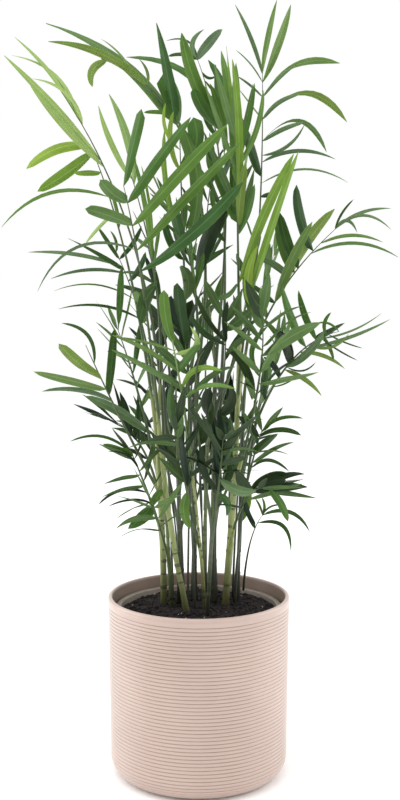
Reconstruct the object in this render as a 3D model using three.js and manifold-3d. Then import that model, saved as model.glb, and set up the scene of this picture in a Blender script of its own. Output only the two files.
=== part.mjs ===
// A parlour palm in a ribbed, round-bottomed cachepot.
// Millimetres, +Z up, origin at the centre of the pot's flat underside, front of the plant towards -Y.
//
// The pot, the grow pot that stands in it and the soil are turned bodies. Cane stems rise from the soil, and
// every frond leaves a stem at a given height: its rib is one bent, tapering rod, and its leaflets are thin
// blades set along both sides of that rib. Every stem, rib and leaflet is made by one function, which turns a
// profile on a few sides and carries it along a path.

import * as THREE from 'three';
import { mergeVertices } from 'three/addons/utils/BufferGeometryUtils.js';
import Module from 'manifold-3d';

const wasm = await Module();
wasm.setup();

// ---------------------------------------------------------------- driving dimensions

const GAP = 0.3;                     // clearance between two pieces that touch on the real plant

const POT = {
  height: 151,                       // underside to the top of the lip
  rimRadius: 75,                     // outside, at the lip
  taper: 0.012,                      // loss of radius for each mm downwards
  wall: 4,
  floor: 6,
  cornerRadius: 17,                  // round corner between the wall and the underside
  lipRadius: 1.9,                    // rounding of the lip
  sides: 40,
};

const GROW_POT = {
  top: 141.5,
  rimRadius: 69,                     // outside of the rolled rim
  rimWidth: 3.2,
  rimHeight: 2.6,
  rimChamfer: 0.6,
  bottomRadius: 50,
  wall: 1.6,
  sides: 40,
};

const SOIL = { top: 140, sides: 40 };

const STEM = {
  sides: 6,
  steps: 5,
  flare: 1.18,                       // swelling of the foot, which fades over flareHeight
  flareHeight: 9,
  clearMargin: 0.4,                  // what a frond's foot is cut back by: their flats then lie GAP apart
};

const RIB = {
  sides: 3,
  steps: 6,
  baseRadius: 1.5,
  tipRadius: 1.0,
  uprightBias: 2e-5,                 // how little a frond's lean must be to be called upright, for each mm
};

const LEAFLET = {
  sides: 3,
  thicknessShare: 0.0135,            // thickness over length
  leastThickness: 0.75,
  sunk: 0.5,                         // how far its pointed foot lies past the rib's axis, in rib radii
  leastSlant: 0.2,                   // sine of the flattest angle to the rib that the foot is worked out for
  stagger: 0.22,                     // how far the two sides of a pair are set apart, in pair spacings
  longLeaflet: 72,                   // past this length the blade has one more bend
  pathSteps: 12,                     // steps of its centre line
  hangPower: 1.7,                    // how late along the blade the hanging sets in
  fanPower: 2.2,                     // how late along the rib the leaflets close towards its tip
  lift: 0.15,                        // rise out of the frond's plane, over the length
  middleSwell: 0.12,                 // how much longer leaflets are at mid frond
  spread: { place: 0.1, length: 0.14, angle: 10, lift: 0.25, roll: 64 },   // of the random draws, in all
};

const WELD = 1e-5;                   // distance at which two vertices are one
const SMOOTHING = 0.02;              // least size of a facet that a joined frond keeps

// The outline of a leaflet: half-width over its greatest half-width, at a share of the length.
const LEAFLET_SHORT = [[0.34, 1], [0.72, 0.72]];
const LEAFLET_LONG = [[0.27, 0.95], [0.54, 0.95], [0.79, 0.55]];

const COLOURS = {
  clay: 0xdcc5ba,
  inside: 0x5f534c,
  soil: 0x2a2526,
  cane: 0x8a9a58,
  mid: 0x3f7030,
  light: 0x74a83c,
  dark: 0x2c4a2a,
  pale: 0x9fb568,
};

// Stems: foot on the soil, top, sideways bow at half height, and the radii at both ends.
const STEMS = {
  stem_left_front: { foot: [-29, 9], top: [-34, -6, 284], bow: [1, 0], radii: [2.7, 1.5] },
  stem_left_thin: { foot: [-22, 3], top: [-29, -16, 262], bow: [0, 0], radii: [1.8, 1.2] },
  stem_left_leaning: { foot: [-10, -14], top: [-33, -26, 314], bow: [-3, 0], radii: [2.4, 1.3] },
  stem_middle: { foot: [-3, 21], top: [-8, 28, 300], bow: [1, 0], radii: [2.2, 1.3] },
  stem_front_thin: { foot: [5, -6], top: [-5, -44, 258], bow: [1, 0], radii: [1.2, 0.9] },
  stem_right_thick: { foot: [13, 20], top: [14, 34, 344], bow: [-1, 0], radii: [2.8, 1.4] },
  stem_right_leaning: { foot: [22, 9], top: [33, -4, 366], bow: [2, 0], radii: [2.8, 1.4] },
  stem_right_outer: { foot: [33, 22], top: [37, 24, 296], bow: [0, 0], radii: [1.7, 1.2] },
  stem_back_left: { foot: [-14, 34], top: [-20, 62, 300], bow: [0, 0], radii: [2.0, 1.2] },
  stem_back_right: { foot: [10, 44], top: [20, 72, 330], bow: [0, 0], radii: [2.0, 1.2] },
  stem_middle_left: { foot: [-17, 12], top: [-17, -12, 268], bow: [1, 0], radii: [1.8, 1.2] },
  stem_middle_thin: { foot: [4, 14], top: [8, -14, 282], bow: [-1, 0], radii: [1.8, 1.2] },
  stem_front_short: { foot: [7, -24], top: [11, -44, 226], bow: [0, 0], radii: [1.6, 1.1] },
};

// Fronds. stem and height say where the frond leaves its stem; half and tip are where its rib is at half its
// run and at its end; bare is the share of the rib that carries no leaflets, from its foot. Leaflets: pairs,
// width, and length and angle to the rib as [left lowest, left highest, right lowest, right highest].
// turn is the bearing that the right-hand leaflets point to, in degrees from +X; droop is how much a leaflet
// hangs and late how late along it, twist how far it is turned about its own length, and rightOut are pairs
// that lack their right-hand one.
const FRONDS = {
  frond_crown_right: {
    stem: 'stem_right_leaning', height: 316, half: [48, 20, 434], tip: [52, 35, 576], bare: 0.6, pairs: 7,
    length: [32, 64, 88, 74], width: 7.5, turn: 0, angle: [56, 14, 56, 12], droop: 3.6, twist: 30,
    colour: 'mid', late: 2.6,
  },
  frond_left_spray: {
    stem: 'stem_left_thin', height: 248, half: [-45, -25, 417], tip: [-103, -50, 552], bare: 0.72, pairs: 0,
    turn: 15, colour: 'light',
  },
  frond_left_fan: {
    stem: 'stem_left_front', height: 278, half: [-54, -18, 414], tip: [-84, -30, 515], bare: 0.72, pairs: 0,
    turn: 10, colour: 'light',
  },
  frond_crown_left: {
    stem: 'stem_middle', height: 290, half: [-2, 28, 493], tip: [-78, 15, 586], bare: 0.6, pairs: 0,
    turn: 50, colour: 'dark',
  },
  frond_crown_middle: {
    stem: 'stem_right_thick', height: 338, half: [22, 30, 450], tip: [19, 25, 529], bare: 0.5, pairs: 2,
    length: [56, 88, 50, 62], width: 10, turn: 15, angle: [42, 24, 30, 8], droop: 0.5, twist: 0,
    colour: 'dark',
  },
  frond_crown_back: {
    stem: 'stem_back_right', height: 322, half: [20, 74, 485], tip: [-1, 85, 595], bare: 0.64, pairs: 4,
    length: [30, 34, 34, 40], width: 8, turn: 10, angle: [60, 24, 50, 40], droop: 0.8, twist: 0,
    colour: 'dark',
  },
  frond_crown_front: {
    stem: 'stem_right_leaning', height: 352, half: [31, -15, 442], tip: [29, -20, 521], bare: 0.5, pairs: 4,
    length: [60, 70, 56, 66], width: 8.5, turn: 20, angle: [24, 10, 24, 10], droop: 0.2, twist: 0,
    colour: 'mid',
  },
  frond_left_broad: {
    stem: 'stem_left_leaning', height: 262, half: [-40, -60, 389], tip: [-55, -85, 481], bare: 0.52, pairs: 0,
    turn: 15, colour: 'mid',
  },
  frond_pale_spear: {
    stem: 'stem_left_leaning', height: 306, half: [-33, -28, 402], tip: [-56, -12, 501], bare: 0.8, pairs: 0,
    turn: 10, colour: 'pale',
  },
  frond_upper_middle: {
    stem: 'stem_middle', height: 270, half: [-12, 0, 426], tip: [-15, -20, 533], bare: 0.5, pairs: 0,
    turn: 20, colour: 'mid',
  },
  frond_right_spear: {
    stem: 'stem_right_leaning', height: 300, half: [35, -35, 362], tip: [46, -50, 424], bare: 0.66, pairs: 2,
    length: [66, 88, 80, 106], width: 9.5, turn: 15, angle: [5, 3, 9, 10], droop: 0.1, twist: 0,
    colour: 'light',
  },
  frond_right_long: {
    stem: 'stem_right_outer', height: 290, half: [53, 0, 376], tip: [108, -10, 450], bare: 0.62, pairs: 0,
    turn: 20, colour: 'mid',
  },
  frond_right_low: {
    stem: 'stem_right_outer', height: 250, half: [65, -20, 335], tip: [109, -40, 371], bare: 0.45, pairs: 0,
    turn: 25, colour: 'dark',
  },
  frond_right_front: {
    stem: 'stem_right_leaning', height: 240, half: [45, -60, 327], tip: [47, -90, 384], bare: 0.45, pairs: 6,
    length: [40, 34, 44, 38], width: 8.5, turn: 10, angle: [42, 24, 42, 24], droop: 0.9, twist: 0,
    colour: 'dark',
  },
  frond_left_middle: {
    stem: 'stem_left_front', height: 260, half: [-42, 10, 354], tip: [-67, 14, 432], bare: 0.5, pairs: 0,
    turn: 25, colour: 'mid',
  },
  frond_left_low: {
    stem: 'stem_left_leaning', height: 226, half: [-59, -35, 297], tip: [-87, -50, 361], bare: 0.4, pairs: 0,
    turn: 20, colour: 'mid',
  },
  frond_front_bright: {
    stem: 'stem_front_thin', height: 254, half: [-12, -70, 321], tip: [-24, -95, 390], bare: 0.42, pairs: 5,
    length: [60, 51, 46, 39], width: 7.5, turn: 0, angle: [46, 28, 42, 21], droop: 0.5, twist: 0,
    colour: 'light',
  },
  frond_foot_left: {
    stem: 'stem_left_front', height: 200, half: [-42, -22, 243], tip: [-54, -38, 278], bare: 0.4, pairs: 4,
    length: [36, 31, 34, 29], width: 7, turn: 20, angle: [60, 25, 60, 25], droop: 0.8, twist: 0,
    colour: 'dark',
  },
  frond_foot_left_front: {
    stem: 'stem_left_thin', height: 180, half: [-30, -45, 215], tip: [-36, -60, 242], bare: 0.55, pairs: 3,
    length: [34, 29, 34, 29], width: 7, turn: 10, angle: [46, 31, 46, 31], droop: 0.7, twist: 0,
    colour: 'dark',
  },
  frond_foot_right: {
    stem: 'stem_right_outer', height: 215, half: [43, -5, 260], tip: [51, -10, 289], bare: 0.4, pairs: 5,
    length: [30, 26, 36, 31], width: 8, turn: 15, angle: [60, 30, 60, 30], droop: 1, twist: 0,
    colour: 'dark',
  },
  frond_foot_right_front: {
    stem: 'stem_right_leaning', height: 190, half: [37, -45, 239], tip: [55, -60, 251], bare: 0.4, pairs: 5,
    length: [34, 29, 40, 34], width: 7.5, turn: 30, angle: [42, 14, 42, 14], droop: 0.5, twist: 0,
    colour: 'dark',
  },
  frond_seedling: {
    foot: [38, 38], half: [43, 30, 185], tip: [53, 15, 214], bare: 0.6, pairs: 0,
    turn: 10, colour: 'dark',
  },
  frond_inner_left: {
    stem: 'stem_middle_left', height: 240, half: [-8, -26, 302], tip: [-12, -40, 372], bare: 0.45, pairs: 6,
    length: [46, 39, 46, 39], width: 8, turn: 35, angle: [42, 21, 42, 21], droop: 0.6, twist: 0,
    colour: 'dark',
  },
  frond_inner_right: {
    stem: 'stem_middle_thin', height: 256, half: [18, -32, 318], tip: [21, -45, 380], bare: 0.45, pairs: 6,
    length: [42, 36, 42, 36], width: 8, turn: -40, angle: [42, 21, 42, 21], droop: 0.6, twist: 0,
    colour: 'dark',
  },
  frond_front_left: {
    stem: 'stem_front_thin', height: 190, half: [-11, -50, 256], tip: [-17, -90, 301], bare: 0.4, pairs: 6,
    length: [40, 34, 44, 37], width: 8, turn: 20, angle: [42, 24, 42, 24], droop: 0.7, twist: 0,
    colour: 'dark',
  },
  frond_front_right: {
    stem: 'stem_front_short', height: 200, half: [16, -60, 257], tip: [18, -100, 295], bare: 0.4, pairs: 6,
    length: [42, 36, 42, 36], width: 8.5, turn: -25, angle: [42, 24, 42, 24], droop: 0.7, twist: 0,
    colour: 'dark',
  },
  frond_back_low_middle: {
    stem: 'stem_back_left', height: 200, half: [0, 58, 226], tip: [-2, 84, 262], bare: 0.4, pairs: 6,
    length: [44, 37, 44, 37], width: 8, turn: 35, angle: [42, 24, 42, 24], droop: 0.6, twist: 0,
    colour: 'dark',
  },
  frond_back_low_right: {
    stem: 'stem_back_right', height: 210, half: [29, 62, 248], tip: [27, 92, 302], bare: 0.4, pairs: 6,
    length: [44, 37, 44, 37], width: 8, turn: -40, angle: [42, 24, 42, 24], droop: 0.6, twist: 0,
    colour: 'dark',
  },
  frond_back_left: {
    stem: 'stem_back_left', height: 250, half: [-29, 64, 300], tip: [-41, 90, 364], bare: 0.45, pairs: 6,
    length: [46, 39, 46, 39], width: 8, turn: 50, angle: [42, 24, 42, 24], droop: 0.6, twist: 0,
    colour: 'dark',
  },
  frond_back_tall: {
    stem: 'stem_back_left', height: 292, half: [-2, 70, 365], tip: [-11, 100, 451], bare: 0.5, pairs: 6,
    length: [44, 37, 44, 37], width: 8.5, turn: 60, angle: [38, 21, 38, 21], droop: 0.6, twist: 0,
    colour: 'dark',
  },
  frond_back_left_tall: {
    stem: 'stem_back_left', height: 266, half: [-29, 72, 357], tip: [-43, 100, 434], bare: 0.5, pairs: 6,
    length: [46, 39, 46, 39], width: 8, turn: -50, angle: [38, 21, 38, 21], droop: 0.6, twist: 0,
    colour: 'dark',
  },
  frond_back_right_tall: {
    stem: 'stem_back_right', height: 300, half: [36, 74, 365], tip: [50, 100, 434], bare: 0.5, pairs: 6,
    length: [36, 31, 36, 31], width: 7, turn: -60, angle: [35, 21, 35, 21], droop: 0.5, twist: 0,
    colour: 'dark',
  },
  frond_left_low_back: {
    stem: 'stem_left_front', height: 222, half: [-46, 20, 268], tip: [-73, 32, 292], bare: 0.45, pairs: 5,
    length: [36, 31, 36, 31], width: 7, turn: 30, angle: [42, 14, 42, 14], droop: 0.5, twist: 0,
    colour: 'dark',
  },
  frond_side_right: {
    stem: 'stem_right_outer', height: 240, half: [53, 34, 309], tip: [73, 48, 358], bare: 0.45, pairs: 6,
    length: [42, 36, 42, 36], width: 8, turn: 80, angle: [38, 21, 38, 21], droop: 0.5, twist: 0,
    colour: 'mid',
  },
  frond_side_left: {
    stem: 'stem_left_front', height: 244, half: [-49, 27, 310], tip: [-68, 44, 367], bare: 0.45, pairs: 6,
    length: [42, 36, 42, 36], width: 8, turn: 100, angle: [38, 21, 38, 21], droop: 0.5, twist: 0,
    colour: 'mid',
  },
  frond_middle_cross: {
    stem: 'stem_middle', height: 256, half: [-2, 8, 394], tip: [-27, 0, 473], bare: 0.5, pairs: 6,
    length: [44, 37, 44, 37], width: 8, turn: 70, angle: [38, 21, 38, 21], droop: 0.5, twist: 0,
    colour: 'mid',
  },
  frond_right_cross: {
    stem: 'stem_right_thick', height: 300, half: [40, 28, 369], tip: [62, 36, 429], bare: 0.5, pairs: 6,
    length: [40, 34, 40, 34], width: 8, turn: 100, angle: [35, 21, 35, 21], droop: 0.5, twist: 0,
    colour: 'mid',
  },
  frond_back_arching: {
    stem: 'stem_back_right', height: 256, half: [6, 92, 311], tip: [12, 130, 380], bare: 0.45, pairs: 6,
    length: [42, 36, 42, 36], width: 8, turn: 0, angle: [38, 21, 38, 21], droop: 0.6, twist: 0,
    colour: 'dark',
  },
  frond_back_right_arching: {
    stem: 'stem_back_right', height: 186, half: [24, 82, 246], tip: [36, 124, 285], bare: 0.4, pairs: 6,
    length: [40, 34, 40, 34], width: 8, turn: 10, angle: [38, 21, 38, 21], droop: 0.6, twist: 0,
    colour: 'dark',
  },
  frond_back_left_arching: {
    stem: 'stem_back_left', height: 186, half: [-29, 78, 246], tip: [-46, 118, 278], bare: 0.4, pairs: 6,
    length: [40, 34, 40, 34], width: 8, turn: -10, angle: [38, 21, 38, 21], droop: 0.6, twist: 0,
    colour: 'dark',
  },
  frond_back_high: {
    stem: 'stem_back_right', height: 312, half: [6, 96, 416], tip: [14, 125, 513], bare: 0.52, pairs: 6,
    length: [40, 34, 40, 34], width: 8, turn: 0, angle: [35, 17, 35, 17], droop: 0.5, twist: 0,
    colour: 'dark',
  },
  frond_front_middle: {
    stem: 'stem_front_short', height: 218, half: [-2, -74, 318], tip: [4, -104, 361], bare: 0.45, pairs: 5,
    length: [40, 34, 40, 34], width: 8, turn: 0, angle: [42, 21, 42, 21], droop: 0.6, twist: 0,
    colour: 'dark',
  },
};

// Leaflets that stray from their frond's rule: where on the rib each starts, its own tip and width, how far
// the middle of its line stands off the straight one (above it where the leaflet runs to the right), and how
// far its face is turned from facing the front, in degrees. A frond with no pairs has only such leaflets.
const LONE_LEAFLETS = [
  { frond: 'frond_left_spray', share: 0.8, tip: [-145, -55, 578], width: 5.5, arch: -2, face: 10 },
  { frond: 'frond_left_spray', share: 0.78, tip: [-125, -60, 555], width: 5, arch: 2, face: 15 },
  { frond: 'frond_left_spray', share: 0.9, tip: [-138, -48, 592], width: 4, arch: -5, face: 20 },
  { frond: 'frond_left_spray', share: 0.9, tip: [-125, -46, 562], width: 3.5, arch: -9, face: 40 },
  { frond: 'frond_left_spray', share: 0.92, tip: [-141, -44, 580], width: 2.5, arch: -12, face: 30 },
  { frond: 'frond_left_fan', share: 1, tip: [-132, -35, 497], width: 8, arch: -6, face: 8 },
  { frond: 'frond_left_fan', share: 0.96, tip: [-123, -40, 479], width: 9.5, arch: 1, face: 8 },
  { frond: 'frond_left_fan', share: 0.88, tip: [-95, -36, 493], width: 4.5, arch: 0, face: 10 },
  { frond: 'frond_left_fan', share: 0.78, tip: [-153, -30, 452], width: 3.5, arch: -15, face: 10 },
  { frond: 'frond_pale_spear', share: 0.94, tip: [-79, -12, 546], width: 5, arch: 3, face: 10 },
  { frond: 'frond_pale_spear', share: 0.92, tip: [-70, -8, 556], width: 7, arch: -4, face: 10 },
  { frond: 'frond_left_broad', share: 1, tip: [-41, -88, 534], width: 9, arch: 2, face: 8 },
  { frond: 'frond_left_broad', share: 0.92, tip: [-72, -84, 485], width: 10, arch: 2, face: 10 },
  { frond: 'frond_left_broad', share: 0.82, tip: [-83, -80, 464], width: 9, arch: -1, face: 10 },
  { frond: 'frond_left_broad', share: 0.92, tip: [-6, -84, 530], width: 9.5, arch: 1, face: 8 },
  { frond: 'frond_left_broad', share: 0.82, tip: [21, -84, 524], width: 9.5, arch: 1, face: 8 },
  { frond: 'frond_left_broad', share: 0.76, tip: [30, -78, 512], width: 9, arch: 1, face: 8 },
  { frond: 'frond_pale_spear', share: 0.62, tip: [33, -70, 484], width: 10, arch: 1, face: 10 },
  { frond: 'frond_crown_left', share: 0.66, tip: [-121, 15, 613], width: 12.5, arch: -6, face: 8 },
  { frond: 'frond_crown_left', share: 0.82, tip: [-120, 12, 598], width: 6.5, arch: -8, face: 20 },
  { frond: 'frond_crown_left', share: 0.82, tip: [-7, 10, 534], width: 16.5, arch: 9, face: 8 },
  { frond: 'frond_crown_left', share: 0.98, tip: [-85, 8, 564], width: 6.5, arch: -7, face: 8 },
  { frond: 'frond_crown_left', share: 0.92, tip: [-98, 20, 616], width: 2, arch: -5, face: 30 },
  { frond: 'frond_crown_middle', share: 1, tip: [-58, 18, 588], width: 6.5, arch: -20, face: 10 },
  { frond: 'frond_crown_left', share: 0.7, tip: [-34, 24, 614], width: 9, arch: -1, face: 8 },
  { frond: 'frond_crown_middle', share: 1, tip: [-13, 0, 604], width: 10.5, arch: 5, face: 8 },
  { frond: 'frond_crown_back', share: 1, tip: [20, 90, 621], width: 8, arch: 1, face: 8 },
  { frond: 'frond_crown_back', share: 1, tip: [4, 92, 621], width: 4.5, arch: 7, face: 8 },
  { frond: 'frond_crown_front', share: 0.76, tip: [17, -22, 586], width: 8, arch: -3, face: 8 },
  { frond: 'frond_crown_front', share: 0.68, tip: [26, -26, 579], width: 6.5, arch: -3, face: 10 },
  { frond: 'frond_crown_middle', share: 1, tip: [7, 20, 586], width: 7.5, arch: -8, face: 10 },
  { frond: 'frond_crown_middle', share: 0.88, tip: [9, 12, 566], width: 6.5, arch: -3, face: 8 },
  { frond: 'frond_crown_right', share: 0.72, tip: [29, 0, 547], width: 9, arch: -1, face: 8 },
  { frond: 'frond_crown_front', share: 0.84, tip: [50, -20, 557], width: 4.5, arch: -5, face: 10 },
  { frond: 'frond_crown_front', share: 0.88, tip: [43, -16, 562], width: 4, arch: -2, face: 10 },
  { frond: 'frond_upper_middle', share: 0.78, tip: [-14, -30, 532], width: 10, arch: -16, face: 10 },
  { frond: 'frond_upper_middle', share: 1, tip: [-7, -34, 445], width: 11.5, arch: 10, face: 8 },
  { frond: 'frond_crown_left', share: 0.46, tip: [7, -36, 412], width: 11.5, arch: 9, face: 10 },
  { frond: 'frond_right_long', share: 0.64, tip: [105, -30, 466], width: 9.5, arch: 4, face: 10 },
  { frond: 'frond_right_long', share: 0.6, tip: [88, -26, 456], width: 8, arch: 2, face: 10 },
  { frond: 'frond_right_long', share: 0.88, tip: [76, -20, 484], width: 8.5, arch: 3, face: 8 },
  { frond: 'frond_right_long', share: 0.78, tip: [64, -20, 462], width: 8.5, arch: 2, face: 8 },
  { frond: 'frond_right_low', share: 0.74, tip: [65, -40, 407], width: 7.5, arch: 2, face: 8 },
  { frond: 'frond_right_low', share: 0.82, tip: [77, -44, 403], width: 6, arch: 2, face: 8 },
  { frond: 'frond_inner_right', share: 0.88, tip: [-2, -60, 400], width: 6.5, arch: 2, face: 8 },
  { frond: 'frond_inner_right', share: 0.88, tip: [24, -60, 396], width: 6, arch: 3, face: 8 },
  { frond: 'frond_front_bright', share: 0.82, tip: [-25, -84, 404], width: 8, arch: 2, face: 8 },
  { frond: 'frond_pale_spear', share: 0.52, tip: [-43, -80, 379], width: 10.5, arch: -3, face: 10 },
  { frond: 'frond_front_bright', share: 0.6, tip: [-64, -92, 370], width: 4.5, arch: -7, face: 10 },
  { frond: 'frond_front_bright', share: 0.56, tip: [-63, -90, 358], width: 4.5, arch: -2, face: 10 },
  { frond: 'frond_front_middle', share: 0.64, tip: [17, -92, 350], width: 4.5, arch: 8, face: 10 },
  { frond: 'frond_front_middle', share: 0.56, tip: [28, -92, 334], width: 3.5, arch: 3, face: 20 },
  { frond: 'frond_left_low', share: 0.68, tip: [-65, -44, 373], width: 6.5, arch: 0, face: 8 },
  { frond: 'frond_left_low', share: 0.78, tip: [-108, -48, 362], width: 10, arch: 2, face: 8 },
  { frond: 'frond_left_low', share: 0.72, tip: [-127, -52, 340], width: 6, arch: 0, face: 10 },
  { frond: 'frond_left_low', share: 0.64, tip: [-121, -52, 325], width: 5, arch: -5, face: 10 },
  { frond: 'frond_side_left', share: 0.3, tip: [-89, -40, 320], width: 8, arch: -3, face: 10 },
  { frond: 'frond_foot_left', share: 0.3, tip: [-55, -40, 215], width: 7, arch: 2, face: 8 },
  { frond: 'frond_foot_left', share: 0.9, tip: [-75, -40, 283], width: 7, arch: 0, face: 10 },
  { frond: 'frond_front_right', share: 0.52, tip: [43, -96, 256], width: 7.5, arch: -4, face: 10 },
  { frond: 'frond_foot_right', share: 0.62, tip: [63, -30, 289], width: 8.5, arch: 1, face: 10 },
  { frond: 'frond_foot_right_front', share: 0.74, tip: [92, -50, 241], width: 6, arch: 0, face: 10 },
  { frond: 'frond_foot_right_front', share: 1, tip: [70, -56, 224], width: 6, arch: 2, face: 10 },
  { frond: 'frond_inner_right', share: 0.3, tip: [9, -60, 329], width: 9, arch: 6, face: 8 },
  { frond: 'frond_inner_right', share: 0.38, tip: [26, -56, 330], width: 8.5, arch: -4, face: 8 },
  { frond: 'frond_inner_left', share: 0.54, tip: [-24, -50, 329], width: 6, arch: 6, face: 8 },
  { frond: 'frond_inner_right', share: 0.82, tip: [41, -50, 319], width: 7, arch: 6, face: 10 },
  { frond: 'frond_right_low', share: 0.58, tip: [58, -70, 374], width: 7, arch: -2, face: 10 },
  { frond: 'frond_foot_left', share: 0.94, tip: [-101, -40, 284], width: 2.5, arch: -9, face: 20 },
  { frond: 'frond_foot_left', share: 0.74, tip: [-71, -44, 277], width: 2.5, arch: -5, face: 20 },
  { frond: 'frond_foot_left', share: 0.46, tip: [-79, -40, 234], width: 2.5, arch: -8, face: 20 },
  { frond: 'frond_foot_left', share: 0.34, tip: [-71, -40, 232], width: 2.5, arch: -4, face: 20 },
  { frond: 'frond_foot_left', share: 0.3, tip: [-30, -46, 247], width: 7.5, arch: 0, face: 8 },
  { frond: 'frond_foot_right', share: 0.96, tip: [82, -24, 301], width: 3, arch: 6, face: 20 },
  { frond: 'frond_foot_right', share: 0.88, tip: [81, -28, 288], width: 4.5, arch: 5, face: 10 },
  { frond: 'frond_foot_right', share: 0.46, tip: [72, -30, 259], width: 3, arch: 8, face: 20 },
  { frond: 'frond_foot_right_front', share: 0.64, tip: [69, -58, 262], width: 7, arch: 5, face: 10 },
  { frond: 'frond_foot_right_front', share: 0.68, tip: [68, -54, 256], width: 7, arch: 0, face: 10 },
  { frond: 'frond_foot_right_front', share: 0.48, tip: [45, -40, 218], width: 4.5, arch: -2, face: 10 },
  { frond: 'frond_left_broad', share: 0.72, tip: [-122, -62, 403], width: 2.5, arch: -19, face: 15 },
  { frond: 'frond_left_middle', share: 0.92, tip: [-137, 4, 432], width: 3, arch: -4, face: 12 },
  { frond: 'frond_left_middle', share: 0.88, tip: [-119, 6, 411], width: 3, arch: -5, face: 12 },
  { frond: 'frond_left_middle', share: 0.74, tip: [-117, 6, 401], width: 1.5, arch: -9, face: 20 },
  { frond: 'frond_left_middle', share: 0.64, tip: [-114, 8, 386], width: 2.5, arch: -7, face: 15 },
  { frond: 'frond_left_middle', share: 0.96, tip: [-81, 8, 451], width: 3.5, arch: 0, face: 12 },
  { frond: 'frond_left_middle', share: 1, tip: [-72, 10, 449], width: 2.5, arch: -2, face: 12 },
  { frond: 'frond_left_middle', share: 0.9, tip: [-105, 4, 443], width: 4, arch: -1, face: 10 },
  { frond: 'frond_left_fan', share: 0.72, tip: [-90, -10, 439], width: 2.5, arch: -1, face: 12 },
  { frond: 'frond_left_middle', share: 0.92, tip: [-65, 2, 373], width: 5.5, arch: 0, face: 10 },
  { frond: 'frond_left_fan', share: 0.66, tip: [-73, 5, 485], width: 3, arch: -2, face: 12 },
  { frond: 'frond_left_middle', share: 0.96, tip: [-47, 14, 453], width: 4, arch: -2, face: 12 },
  { frond: 'frond_left_middle', share: 0.84, tip: [-44, 14, 432], width: 5, arch: -2, face: 12 },
  { frond: 'frond_left_middle', share: 0.72, tip: [-33, 14, 409], width: 5, arch: 1, face: 12 },
  { frond: 'frond_left_middle', share: 0.62, tip: [-49, -22, 402], width: 10.5, arch: -1, face: 10 },
  { frond: 'frond_left_low', share: 0.88, tip: [-106, -42, 378], width: 3, arch: -10, face: 12 },
  { frond: 'frond_right_long', share: 1, tip: [152, -12, 466], width: 2.5, arch: 5, face: 15 },
  { frond: 'frond_right_long', share: 1, tip: [152, -14, 450], width: 2.5, arch: 11, face: 15 },
  { frond: 'frond_right_long', share: 1, tip: [125, -14, 448], width: 3, arch: 8, face: 12 },
  { frond: 'frond_right_long', share: 0.92, tip: [147, -8, 440], width: 3, arch: 6, face: 15 },
  { frond: 'frond_right_long', share: 0.86, tip: [159, -6, 428], width: 2.5, arch: 10, face: 15 },
  { frond: 'frond_right_long', share: 1, tip: [123, -12, 473], width: 2, arch: 3, face: 15 },
  { frond: 'frond_right_long', share: 0.76, tip: [66, -4, 462], width: 10.5, arch: 2, face: 10 },
  { frond: 'frond_right_long', share: 0.72, tip: [48, 0, 427], width: 6.5, arch: -3, face: 10 },
  { frond: 'frond_right_long', share: 0.6, tip: [42, 2, 407], width: 4.5, arch: 0, face: 10 },
  { frond: 'frond_right_long', share: 0.52, tip: [51, 4, 403], width: 5.5, arch: 2, face: 10 },
  { frond: 'frond_right_low', share: 0.56, tip: [97, -40, 371], width: 6, arch: -3, face: 10 },
  { frond: 'frond_right_low', share: 0.82, tip: [113, -42, 378], width: 6, arch: 0, face: 10 },
  { frond: 'frond_right_low', share: 0.72, tip: [148, -38, 381], width: 3, arch: -3, face: 15 },
  { frond: 'frond_right_low', share: 0.84, tip: [143, -38, 385], width: 2, arch: -4, face: 20 },
  { frond: 'frond_right_low', share: 0.76, tip: [117, -36, 369], width: 2.5, arch: -6, face: 15 },
  { frond: 'frond_right_low', share: 1, tip: [90, -40, 376], width: 2, arch: -4, face: 20 },
  { frond: 'frond_right_low', share: 0.9, tip: [103, -40, 385], width: 3, arch: 3, face: 12 },
  { frond: 'frond_right_low', share: 0.68, tip: [114, -38, 342], width: 3.5, arch: 4, face: 12 },
  { frond: 'frond_right_low', share: 0.54, tip: [96, -36, 320], width: 4, arch: 3, face: 12 },
  { frond: 'frond_right_low', share: 0.88, tip: [106, -38, 349], width: 3, arch: 1, face: 12 },
  { frond: 'frond_right_low', share: 0.86, tip: [124, -38, 349], width: 1.5, arch: -1, face: 20 },
  { frond: 'frond_right_low', share: 0.92, tip: [127, -38, 358], width: 1, arch: -1, face: 20 },
  { frond: 'frond_right_low', share: 0.56, tip: [92, -34, 347], width: 1.5, arch: -5, face: 20 },
  { frond: 'frond_right_low', share: 0.42, tip: [74, -34, 333], width: 1.5, arch: -1, face: 20 },
  { frond: 'frond_right_low', share: 0.58, tip: [63, -34, 371], width: 7.5, arch: -3, face: 10 },
  { frond: 'frond_right_low', share: 0.62, tip: [50, -30, 381], width: 4.5, arch: -2, face: 10 },
  { frond: 'frond_right_low', share: 0.48, tip: [51, -30, 350], width: 5.5, arch: -2, face: 10 },
  { frond: 'frond_right_low', share: 0.34, tip: [53, -26, 343], width: 4.5, arch: 0, face: 10 },
  { frond: 'frond_seedling', share: 1, tip: [92, 12, 201], width: 4, arch: 10, face: 15 },
  { frond: 'frond_seedling', share: 0.84, tip: [77, 12, 184], width: 3.5, arch: 12, face: 15 },
  { frond: 'frond_seedling', share: 1, tip: [68, 14, 223], width: 2, arch: 3, face: 15 },
  { frond: 'frond_seedling', share: 1, tip: [48, 16, 228], width: 2, arch: -1, face: 15 },
  { frond: 'frond_seedling', share: 1, tip: [53, 16, 229], width: 2.5, arch: -2, face: 15 },
  { frond: 'frond_seedling', share: 0.74, tip: [38, 18, 221], width: 4, arch: 0, face: 12 },
  { frond: 'frond_front_left', share: 0.4, tip: [-7, -46, 216], width: 8.5, arch: -4, face: 8 },
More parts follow.
